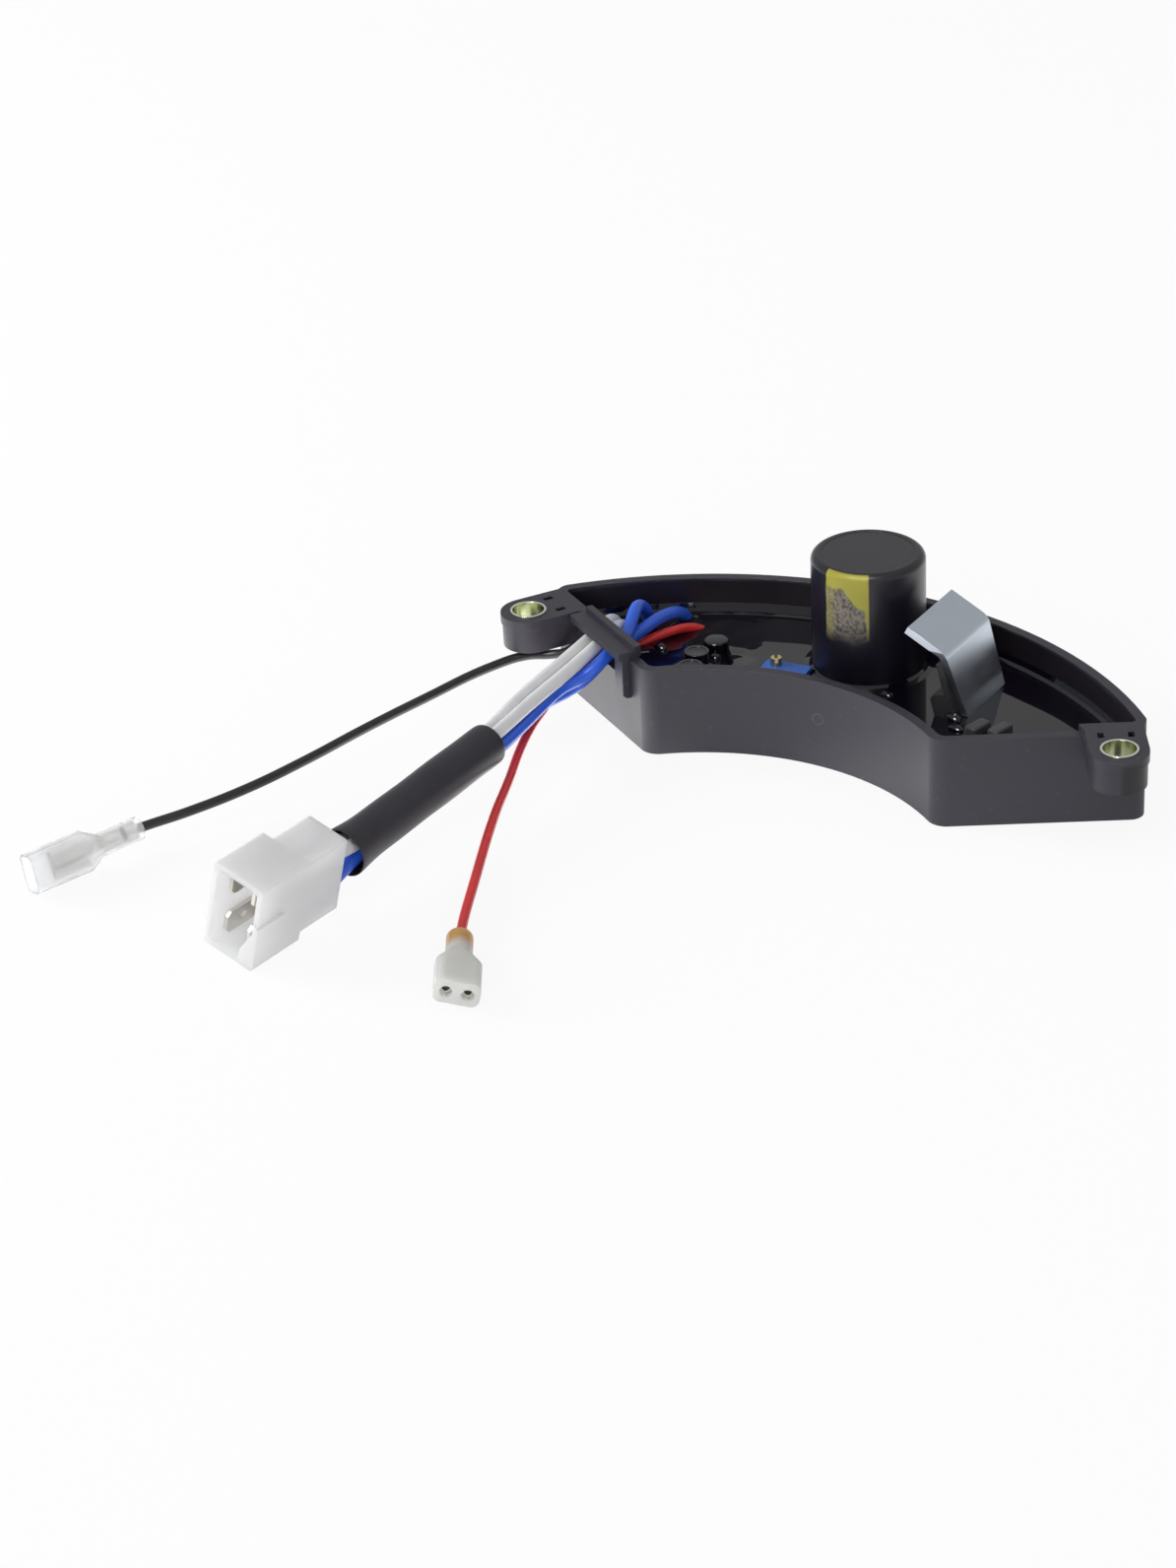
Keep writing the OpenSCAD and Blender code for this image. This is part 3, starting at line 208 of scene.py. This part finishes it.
# %% Draw the leads
def lead(node):
    line = bpy.data.curves.new(node + "_insulation", "CURVE")
    line.dimensions = "3D"
    line.bevel_depth = WIRE_MM[node] / 2000
    line.bevel_resolution = 6
    line.resolution_u = 8
    line.use_fill_caps = True
    spline = line.splines.new("BEZIER")
    spline.bezier_points.add(len(ROUTES[node]) - 1)
    for place, p in zip(spline.bezier_points, ROUTES[node]):
        place.co = in_frame(*p)
        place.handle_left_type = place.handle_right_type = "AUTO"
    piece = bpy.data.objects.new(node + "_insulation", line)
    bpy.context.scene.collection.objects.link(piece)
    bpy.context.view_layer.update()
    path = [spline.bezier_points[0].co.copy()]
    for a, b in zip(spline.bezier_points, spline.bezier_points[1:]):
        path += interpolate_bezier(a.co, a.handle_right, b.handle_left, b.co, 9)[1:]
    deselect()
    piece.select_set(True)
    bpy.context.view_layer.objects.active = piece
    bpy.ops.object.convert(target="MESH")
    bpy.ops.object.shade_smooth_by_angle(angle=math.radians(40))
    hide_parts(node)
    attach(piece, "regulator")


for node in ROUTES:
    lead(node)

# %% [markdown]
# ## Drops of resin
# The resin was poured by hand and set in low drops beside the transistor and between the wires. A scaled
# sphere would waste half its faces under the surface, so a ring is extruded upwards in shrinking steps,
# closed at its top, then stretched, turned and smoothed.

# %% Model the drops
DROPS = [
    ((25.9, 9.0), 2.3, 1.5, 1.6, 30), ((28.3, 5.3), 2.0, 1.2, 1.2, 10), ((35.6, 5.6), 1.3, 0.9, 0.9, 50),
    ((31.2, 7.2), 1.6, 1.1, 1.0, 80), ((9.7, 12.4), 1.7, 1.1, 0.8, 20), ((-40.3, 9.9), 1.9, 1.2, 1.1, 20),
    ((-28.2, 11.2), 1.5, 1.1, 1.0, 60), ((-33.6, 9.2), 1.4, 1.0, 0.9, 100), ((-27.2, 6.9), 1.6, 1.2, 0.8, 40),
    ((-47.3, 15.2), 1.9, 1.3, 1.5, 70), ((-42.0, 19.0), 1.8, 1.1, 1.0, 120),
]
DOME = [(0.97, 0.2), (0.86, 0.5), (0.66, 0.76), (0.38, 0.94), (0.12, 1.0)]
RESIN_MM = 12.75


def drop(place, length, width, height, turned):
    foot = in_frame(*place, RESIN_MM)
    deselect()
    bpy.ops.mesh.primitive_circle_add(vertices=20, radius=0.001, location=foot)
    piece = bpy.context.object
    bpy.ops.object.mode_set(mode="EDIT")
    bpy.ops.mesh.select_all(action="SELECT")
    ring, level = 1.0, 0.0
    for wide, high in DOME:
        rise = (high - level) * height / 1000
        bpy.ops.mesh.extrude_region_move(TRANSFORM_OT_translate={"value": (0, 0, rise)})
        bpy.ops.transform.resize(value=(wide / ring, wide / ring, 1))
        ring, level = wide, high
    bpy.ops.mesh.edge_face_add()
    bpy.ops.mesh.select_all(action="SELECT")
    bpy.ops.transform.resize(value=(length, width, 1), center_override=foot)
    bpy.ops.transform.rotate(value=math.radians(turned), orient_axis="Z", center_override=foot)
    bpy.ops.mesh.normals_make_consistent(inside=False)
    bpy.ops.object.mode_set(mode="OBJECT")
    soft = piece.modifiers.new("soft", "SUBSURF")
    soft.levels = soft.render_levels = 2
    return apply_all(piece)


drops = join([drop(*d) for d in DROPS], "resin_drops")
bpy.ops.object.shade_smooth()
print("drops:", len(DROPS), "faces:", len(drops.data.polygons))

# %% [markdown]
# ## Small capacitors
# Three small electrolytic capacitors stand out of the resin, and two film capacitors beside the heat
# sink. A bare cylinder or cube has knife edges that catch no light. So each can's top is inset and
# pressed in a little, as inside its sleeve's turned-in edge, the film capacitors stay blocks, and a Bevel
# modifier rounds the edges of both.

# %% Model the small capacitors
SMALL_CANS = [(-29.65, 14.16), (-30.56, 7.86), (-28.66, 2.05)]
BOARD_MM, SMALL_CAN_MM, SMALL_CAN_RADIUS = 4.2, 11, 0.0025
CAN_RIM, CAN_TOP_DEPTH, CAN_EDGE = 0.0007, 0.00012, 0.0004
FILM_BLOCKS = [(33.79, 3.9), (38.11, 4.64)]
FILM_MM, FILM_TURN, FILM_EDGE = (5, 2.6, 12), 76, 0.0005


def small_can(x, y):
    deselect()
    bpy.ops.mesh.primitive_cylinder_add(vertices=56, radius=SMALL_CAN_RADIUS, depth=SMALL_CAN_MM / 1000,
                                        location=in_frame(x, y, BOARD_MM + SMALL_CAN_MM / 2))
    piece = bpy.context.object
    for face in piece.data.polygons:
        face.select = face.normal.z > 0.9
    bpy.ops.object.mode_set(mode="EDIT")
    bpy.ops.mesh.select_mode(type="FACE")
    bpy.ops.mesh.inset(thickness=CAN_RIM)
    bpy.ops.mesh.extrude_region_move(TRANSFORM_OT_translate={"value": (0, 0, -CAN_TOP_DEPTH)})
    bpy.ops.object.mode_set(mode="OBJECT")
    edge = piece.modifiers.new("edge", "BEVEL")
    edge.width, edge.segments, edge.limit_method = CAN_EDGE, 4, "ANGLE"
    edge.use_clamp_overlap = True
    return apply_all(piece)


def film_block(x, y):
    deselect()
    bpy.ops.mesh.primitive_cube_add(size=1, location=in_frame(x, y, BOARD_MM + FILM_MM[2] / 2),
                                    scale=[side / 1000 for side in FILM_MM],
                                    rotation=(0, 0, math.radians(FILM_TURN)))
    piece = bpy.context.object
    bpy.ops.object.transform_apply(location=True, rotation=True, scale=True)
    edge = piece.modifiers.new("edge", "BEVEL")
    edge.width, edge.segments, edge.limit_method = FILM_EDGE, 4, "ANGLE"
    return apply_all(piece)


cans = join([small_can(*spot) for spot in SMALL_CANS], "small_capacitor_cans")
bpy.ops.object.shade_smooth_by_angle(angle=math.radians(35))
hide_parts("small_capacitors")
blocks = join([film_block(*spot) for spot in FILM_BLOCKS], "film_capacitor_blocks")
bpy.ops.object.shade_smooth_by_angle(angle=math.radians(35))
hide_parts("film_capacitors")
print("small capacitors:", len(cans.data.polygons) + len(blocks.data.polygons), "faces")

# %% [markdown]
# ## Shader arithmetic
# Finishes are easier to read as sums than as boxes and wires. A Signal holds one socket of a material.
# Arithmetic on Signals adds Math nodes, and its node method adds any other node.


# %% A socket that can be added and multiplied
class Signal:
    def __init__(self, tree, socket=None):
        self.tree, self.socket = tree, socket

    def plug(self, target, value):
        if isinstance(value, Signal):
            self.tree.links.new(value.socket, target)
        else:
            target.default_value = value

    def node(self, kind, settings=None, values=None, out=0):
        made = self.tree.nodes.new("ShaderNode" + kind)
        for name, value in (settings or {}).items():
            setattr(made, name, value)
        for name, value in (values or {}).items():
            self.plug(made.inputs[name], value)
        return Signal(self.tree, made.outputs[out])

    def math(self, operation, a, b=0.0):
        return self.node("Math", {"operation": operation}, {0: a, 1: b})

    def __add__(self, other):
        return self.math("ADD", self, other)

    __radd__ = __add__

    def __sub__(self, other):
        return self.math("SUBTRACT", self, other)

    def __rsub__(self, other):
        return self.math("SUBTRACT", other, self)

    def __mul__(self, other):
        return self.math("MULTIPLY", self, other)

    __rmul__ = __mul__

    def __truediv__(self, other):
        return self.math("DIVIDE", self, other)

    def __pow__(self, other):
        return self.math("POWER", self, other)

    def clamp(self, low, high):
        return self.node("MapRange", {"clamp": True}, {"Value": self, "From Min": low, "From Max": high})

    def mix(self, dark, light):
        ends = [(*end, 1) if isinstance(end, tuple) else end for end in (dark, light)]
        return self.node("Mix", {"data_type": "RGBA"}, {"Factor": self, 6: ends[0], 7: ends[1]}, out=2)


def new_finish(name):
    material = bpy.data.materials.new(name)
    material.use_nodes = True
    tree = material.node_tree
    shader = tree.nodes["Principled BSDF"]
    start = Signal(tree)
    place = start.node("TexCoord", out="Object")

    def set_to(**sockets):
        for socket, value in sockets.items():
            start.plug(shader.inputs[socket.replace("_", " ")], value)

    return material, start, place, set_to


def axes(place, origin=(0, 0, 0)):
    moved = place.node("VectorMath", {"operation": "SUBTRACT"}, {0: place, 1: origin})
    parts = moved.node("SeparateXYZ", values={"Vector": moved})
    return [Signal(place.tree, socket) for socket in parts.socket.node.outputs]


def mm_from(place, spot):
    return 1000 * place.node("VectorMath", {"operation": "DISTANCE"}, {0: place, 1: spot}, out="Value")


def noise(place, scale, detail=2.0, stretch=None):
    if stretch:
        place = place.node("Mapping", values={"Vector": place, "Scale": stretch})
    return place.node("TexNoise", values={"Vector": place, "Scale": scale, "Detail": detail})


def bumped(start, height, distance, strength=1.0, edge=None):
    values = {"Height": height, "Distance": distance, "Strength": strength}
    if edge:
        values["Normal"] = start.node("Bevel", {"samples": 6}, {"Radius": edge})
    return start.node("Bump", values=values)


def paint(material, *names):
    for name in names:
        target = nodes.get(name) or bpy.data.objects[name]
        target.data.materials.clear()
        target.data.materials.append(material)


print("shader helpers ready")

# %% [markdown]
# ## Moulded charcoal case
# The tray and its clip are moulded in filled plastic. Its skin is satin with a very fine grain from the
# tool, and it looks a little cloudy from place to place. The inside of the back wall, from below the resin
# up to just under the rim, is painted near black and a little glossier, a painted shade for the hollow. A
# round ejector mark shows on the front wall. Bevelled copies of the meshes could soften their edges. A
# Bevel node rounds only the light on them, and leaves the imported meshes as they are.

# %% Charcoal moulding
ARC_CENTRE = (0, -0.063949, 0)
EJECTOR_MARK = (0.00039, -0.01455, 0.0103)
charcoal, start, place, set_to = new_finish("charcoal_moulding")
x, y, z = axes(place, ARC_CENTRE)
radius = (x * x + y * y) ** 0.5 * 1000
grain = noise(place, 2600, 3)
cloud = noise(place, 55, 4)
scuff = noise(place, 700, 6).clamp(0.62, 0.8)
# painted shade: a slightly ragged height, up to which the inside of the back wall is painted near black
shade_edge_height = z * 1000 + 1.6 * (noise(place, 90, 3) - 0.5)
painted_shade_inner_wall = radius.clamp(87.3, 87.2) * radius.clamp(80, 81) * shade_edge_height.clamp(19.7, 19.2) * shade_edge_height.clamp(11, 12)
from_mark = mm_from(place, EJECTOR_MARK)
mark = (1.35 - from_mark).clamp(0, 0.12) - (1.05 - from_mark).clamp(0, 0.12)
colour = cloud.mix((0.018, 0.0165, 0.024), (0.026, 0.0245, 0.034))
dusted = (scuff * 0.35).mix(colour, (0.065, 0.065, 0.07))
# painted shade: the inside of the back wall gets a near-black colour here and a little lower roughness
set_to(Base_Color=painted_shade_inner_wall.mix((mark * 0.7).mix(dusted, (0.058, 0.056, 0.062)), (0.008, 0.006, 0.009)),
       Roughness=(0.42 + 0.16 * cloud) * (1 - painted_shade_inner_wall) + 0.4 * painted_shade_inner_wall,
       Normal=bumped(start, (grain + 0.6 * scuff) * (1 - painted_shade_inner_wall) - 3 * mark, 0.00004, 0.5, edge=0.00022),
       IOR=1.5)
paint(charcoal, "case", "cable_clip")
print("finish:", charcoal.name)

# %% [markdown]
# ## Potting resin
# The tray is filled with black casting resin that set like glass. It mirrors the white room at a low
# angle and is black elsewhere. Broad, very shallow waves keep the reflections from looking machined. Left
# of a ragged line the resin sinks towards the wires, so it mirrors the dark wall there. The slope is so
# slight that the bump can carry it.

# %% Black resin
WAVES, SLOPE = 0.0003, 0.00019


def black_resin(name, sinks_from=None):
    made, start, place, set_to = new_finish(name)
    dust = noise(place, 1800, 2).clamp(0.66, 0.8)
    level = WAVES * noise(place, 42, 1)
    if sinks_from is not None:
        x, y = axes(place)[:2]
        past = sinks_from - 1000 * x - 350 * y + 2.5 * (noise(place, 160, 1) - 0.5)
        past = 30 * past.clamp(0, 30)
        level = level - SLOPE * past * past / (past + 1.5)
    set_to(Base_Color=dust.mix((0.004, 0.003, 0.007), (0.012, 0.011, 0.015)),
           Roughness=0.035 + 0.12 * dust,
           Normal=bumped(start, level, 1.0),
           IOR=1.5)
    return made


resin = black_resin("black_resin", sinks_from=-20.5)
resin_coat = black_resin("resin_coat")
paint(resin, "potting")
paint(resin_coat, "small_capacitor_cans", "resin_drops")
print("finish:", resin.name, resin_coat.name)

# %% [markdown]
# ## Metals
# The heat sink is rolled aluminium sheet, the bushes are steel with yellow passivated zinc, the blades
# and receptacles are tinned, and the trimmer's screw is brass. Most differ only in their colour and in
# the run of their fine lines, so one function makes them. The bushes get a finish of their own, with a
# painted highlight: their top rings are painted pale silver for the bright sheen on them.


# %% Metals
def metal(name, dark, light, rough, stretch, scale=900, depth=0.00001, edge=None):
    made, start, place, set_to = new_finish(name)
    lines = noise(place, scale, 3, stretch)
    stain = noise(place, 130, 3)
    set_to(Base_Color=stain.mix(dark, light),
           Roughness=rough + 0.18 * stain * lines,
           Normal=bumped(start, lines, depth, 0.4, edge),
           Metallic=1.0)
    return made


sheet = metal("rolled_aluminium", (0.49, 0.54, 0.61), (0.57, 0.62, 0.69), 0.3, (1, 0.08, 1), edge=0.0001)
zinc, start, place, set_to = new_finish("yellow_zinc")
rainbow = noise(place, 260, 2)
# painted highlight: the top ring of each bush, above 20.05 mm, is painted pale silver for its bright sheen
painted_highlight_ring = (axes(place)[2] * 1000).clamp(20.05, 20.25)
yellow = rainbow.mix((0.42, 0.46, 0.26), (0.76, 0.77, 0.66))
set_to(Base_Color=painted_highlight_ring.mix(yellow, (0.78, 0.78, 0.70)), Roughness=0.12 + 0.14 * rainbow, Metallic=1.0,
       Normal=bumped(start, noise(place, 700, 2, (1, 1, 0.2)), 0.000004, 0.4, edge=0.00015))
tin = metal("tinned_brass", (0.64, 0.62, 0.57), (0.80, 0.78, 0.73), 0.25, (1, 0.2, 1), edge=0.0001)
brass = metal("turned_brass", (0.60, 0.42, 0.16), (0.80, 0.62, 0.30), 0.28, (1, 1, 0.1), edge=0.0001)
paint(sheet, "heat_sink", "capacitor_can")
paint(zinc, "mount_bushes")
paint(tin, "connector_blades", "red_receptacle", "black_receptacle", "capacitor_pins", "trimmer_pins",
      "transistor_frame")
paint(brass, "trimmer_screw")
print("metals:", sheet.name, zinc.name, tin.name, brass.name)

# %% [markdown]
# ## Capacitor
# The can wears a shrunk black film. A yellow-green polarity stripe runs down its left front and is partly
# rubbed away. An unwrapped map could carry the stripe, but masks in the can's own angle and height are
# simpler and stay sharp from close by.

# %% Capacitor film
low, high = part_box("capacitor_sleeve")
CAN_MIDDLE = (low + high) / 2
film, start, place, set_to = new_finish("capacitor_film")
x, y, z = axes(place, (CAN_MIDDLE.x, CAN_MIDDLE.y, 0))
angle = start.math("ARCTAN2", y, x) * (180 / math.pi)
radius = (x * x + y * y) ** 0.5 * 1000
height = z * 1000
cloud = noise(place, 160, 4)
rub = noise(place, 420, 5)
speck = noise(place, 1500, 4)
ragged = 3 * (rub - 0.5)
stripe = (angle + ragged + 109).clamp(0, 1) * (-61 - angle).clamp(0, 1) * radius.clamp(10.3, 10.5)
band_foot = 33.4 - (angle + 89).clamp(0, 28) * 5.2 + ragged
solid = (height - band_foot).clamp(0, 0.5)
lower = (height + 5 * (cloud - 0.5)).clamp(22.5, 26)
left_strip = (-98 - angle + 2 * ragged).clamp(-4, 4)
right_strip = (angle + 66 + 0.25 * (height - 29) + ragged).clamp(0, 1.5)
ink = stripe * (solid + (1 - solid) * lower * (0.3 * left_strip + 0.8 * right_strip).clamp(0, 1)).clamp(0, 1)
bare = stripe * (1 - solid) * lower * (speck + 0.3 * (rub - 0.5)).clamp(0.3, 0.62)
worn = bare.mix((0.006, 0.005, 0.010), (0.17, 0.15, 0.12))
set_to(Base_Color=(ink * (0.62 + 0.38 * cloud)).mix(worn, (0.34, 0.315, 0.036)),
       Roughness=0.28 + 0.1 * cloud + 0.18 * bare + 0.1 * ink,
       Normal=bumped(start, cloud + 0.15 * speck * bare, 0.00006, 0.3, edge=0.0002),
       IOR=1.52)
paint(film, "capacitor_sleeve", "capacitor_disc")
print("stripe on", film.name)

# %% [markdown]
# ## Plastics
# Wires have satin PVC insulation, the trimmer is a blue moulding, the connector and the red lead's cover
# are milky nylon, and the black lead's cover is clear PVC. Plain plastics share one function. Nylon lets
# light in a little way, so it has subsurface scattering and some transmission. The red lead's end of its
# cover is stained amber.


# %% Wire insulation and small mouldings
def plastic(name, dark, light, rough, scale=240, grain=1500, depth=0.00002, edge=None):
    made, start, place, set_to = new_finish(name)
    cloud = noise(place, scale, 3)
    fine = noise(place, grain, 2)
    set_to(Base_Color=cloud.mix(dark, light),
           Roughness=rough - 0.08 + 0.16 * cloud,
           Normal=bumped(start, fine, depth, 0.4, edge),
           IOR=1.5)
    return made


white_pvc = plastic("white_insulation", (0.58, 0.58, 0.60), (0.72, 0.72, 0.73), 0.38)
blue_pvc = plastic("blue_insulation", (0.018, 0.085, 0.56), (0.032, 0.125, 0.70), 0.36)
red_pvc = plastic("red_insulation", (0.52, 0.018, 0.020), (0.70, 0.034, 0.036), 0.36)
black_pvc = plastic("black_insulation", (0.006, 0.006, 0.007), (0.014, 0.014, 0.016), 0.42)
sleeve_pvc = plastic("sleeve_film", (0.007, 0.006, 0.010), (0.018, 0.016, 0.024), 0.46,
                     scale=130, depth=0.00004)
trimmer_blue = plastic("trimmer_blue", (0.014, 0.090, 0.40), (0.022, 0.120, 0.52), 0.42, edge=0.00015)
black_moulding = plastic("black_moulding", (0.010, 0.010, 0.011), (0.022, 0.022, 0.024), 0.5, edge=0.0002)
film_coat = plastic("film_coat", (0.030, 0.030, 0.033), (0.050, 0.050, 0.054), 0.5)
laminate = plastic("green_laminate", (0.02, 0.12, 0.05), (0.04, 0.18, 0.08), 0.5)
lacquer = plastic("resistor_lacquer", (0.40, 0.28, 0.15), (0.55, 0.42, 0.26), 0.45)
paint(white_pvc, "white_wire_a_insulation", "white_wire_b_insulation")
paint(blue_pvc, "blue_wire_a_insulation", "blue_wire_b_insulation")
paint(red_pvc, "red_lead_insulation")
paint(black_pvc, "black_lead_insulation")
paint(sleeve_pvc, "harness_sleeve_skin")
paint(trimmer_blue, "trimmer_body")
paint(black_moulding, "transistor_body", "rectifier_diodes", "capacitor_seal")
paint(film_coat, "film_capacitor_blocks")
paint(laminate, "circuit_board")
paint(lacquer, "resistors")
print("plastics done")


# %% Milky nylon and clear PVC
def milky(name, dark, light, deep, tint=None):
    made, start, place, set_to = new_finish(name)
    cloud = noise(place, 180, 3)
    fine = noise(place, 1300, 2)
    colour = cloud.mix(dark, light)
    if tint:
        where, stained = tint(place)
        colour = where.mix(colour, stained)
    set_to(Base_Color=colour,
           Roughness=0.34 + 0.14 * cloud,
           Normal=bumped(start, fine, 0.00003, 0.3, edge=0.0003),
           Subsurface_Weight=0.9, Subsurface_Radius=(1.0, 0.98, 0.95), Subsurface_Scale=deep,
           Transmission_Weight=0.4, IOR=1.5)
    return made


def amber_end(place):
    away = mm_from(place, in_frame(-23.1, -91, 3.2))
    patch = noise(place, 300, 3)
    return (away + 2.5 * (patch - 0.5)).clamp(5.8, 3.4) * 0.95, (0.74, 0.38, 0.07)


nylon = milky("milky_nylon", (0.92, 0.92, 0.94), (0.97, 0.97, 0.98), 0.006)
cover_nylon = milky("cover_nylon", (0.93, 0.93, 0.88), (0.97, 0.96, 0.92), 0.004, amber_end)
paint(nylon, "connector_housing")
paint(cover_nylon, "red_cover")

clear_pvc, start, place, set_to = new_finish("clear_pvc")
haze = noise(place, 260, 3)
set_to(Base_Color=haze.mix((0.87, 0.88, 0.89), (0.93, 0.93, 0.94)), Roughness=0.05 + 0.08 * haze,
       Transmission_Weight=0.72, IOR=1.4, Normal=bumped(start, haze, 0.00002, 0.3))
paint(clear_pvc, "black_cover")
print("nylon and clear cover done")

# %% [markdown]
# ## Studio
# The part stands on a white floor in an even white room. What the camera sees of them is plain white, and
# the light on the part comes from the room and from three soft lamps, the strongest on the left. Stronger
# lamps would wash out the pale pieces. Instead, mirrors see the floor brighter at the left end and in the
# hollow, as from white cards, and dimmer at the right. They also see a bright skylight behind the camera,
# which makes the sparks on the wet resin.


# %% Floor
def rays(start):
    kinds = start.node("LightPath").socket.node.outputs
    names = ("Is Camera Ray", "Is Glossy Ray", "Is Transmission Ray")
    return [Signal(start.tree, kinds[name]) for name in names]


deselect()
bpy.ops.mesh.primitive_plane_add(size=4, location=(0, 0, -0.0002))
floor = bpy.context.object
floor.name = "floor"
white_floor, start, place, set_to = new_finish("white_floor")
set_to(Base_Color=(0.86, 0.86, 0.86, 1), Roughness=0.9)
seen, mirrored, through = rays(start)
lit_left = mm_from(place, (-0.066, -0.03, 0)).clamp(46, 26)
lit_hollow = mm_from(place, (0.008, -0.0215, 0)).clamp(18, 6)
dim_right = mm_from(place, (0.105, -0.035, 0)).clamp(70, 40)
mirror_glow = 0.4 + 2.8 * lit_left + 1.1 * lit_hollow - 0.6 * dim_right
glow = start.node("Emission", values={"Color": 1.0 + mirror_glow * mirrored, "Strength": 1.0})
shaded = Signal(start.tree, start.tree.nodes["Principled BSDF"].outputs[0])
white_share = 0.25 + 0.64 * (seen + through).clamp(0, 1) + 0.47 * mirrored
both = start.node("MixShader", values={0: white_share, 1: shaded, 2: glow})
start.plug(start.tree.nodes["Material Output"].inputs["Surface"], both)
floor.data.materials.append(white_floor)
print("floor:", white_floor.name)

# %% Room
SKYLIGHT = Vector((0.05, -0.75, 0.9)).normalized()
world = bpy.data.worlds.new("room")
world.use_nodes = True
bpy.context.scene.world = world
room = Signal(world.node_tree)
seen, mirrored, through = rays(room)
toward = room.node("TexCoord", out="Generated")
facing = room.node("VectorMath", {"operation": "DOT_PRODUCT"}, {0: toward, 1: SKYLIGHT}, out="Value")
pane = facing.clamp(0.968, 0.977)
walls = world.node_tree.nodes["Background"]
walls.inputs["Color"].default_value = (1, 1, 1, 1)
room.plug(walls.inputs["Strength"],
          0.5 + 0.5 * (seen + through).clamp(0, 1) + (0.06 + 20 * pane) * mirrored)
print("room:", len(world.node_tree.nodes), "nodes")

# %% Lamps
LAMPS = {"left_lamp": ((-0.95, -0.3, 0.4), 0.5, 9.0), "top_lamp": ((0.25, 0.1, 0.95), 0.8, 1.0),
         "front_lamp": ((0.3, -1.1, 0.2), 0.6, 6.5)}
LIT_SPOT = Vector((0, -0.03, 0.01))

for name, (spot, size, power) in LAMPS.items():
    lamp = bpy.data.lights.new(name, "AREA")
    lamp.size, lamp.energy = size, power
    softbox = bpy.data.objects.new(name, lamp)
    bpy.context.scene.collection.objects.link(softbox)
    softbox.location = spot
    softbox.visible_glossy = False
    softbox.rotation_euler = (LIT_SPOT - Vector(spot)).to_track_quat("-Z", "Y").to_euler()

bpy.context.scene.view_settings.view_transform = "Standard"
print("lamps:", ", ".join(LAMPS))

# %% [markdown]
# ## Last update

# %% Update the view layer
bpy.context.view_layer.update()
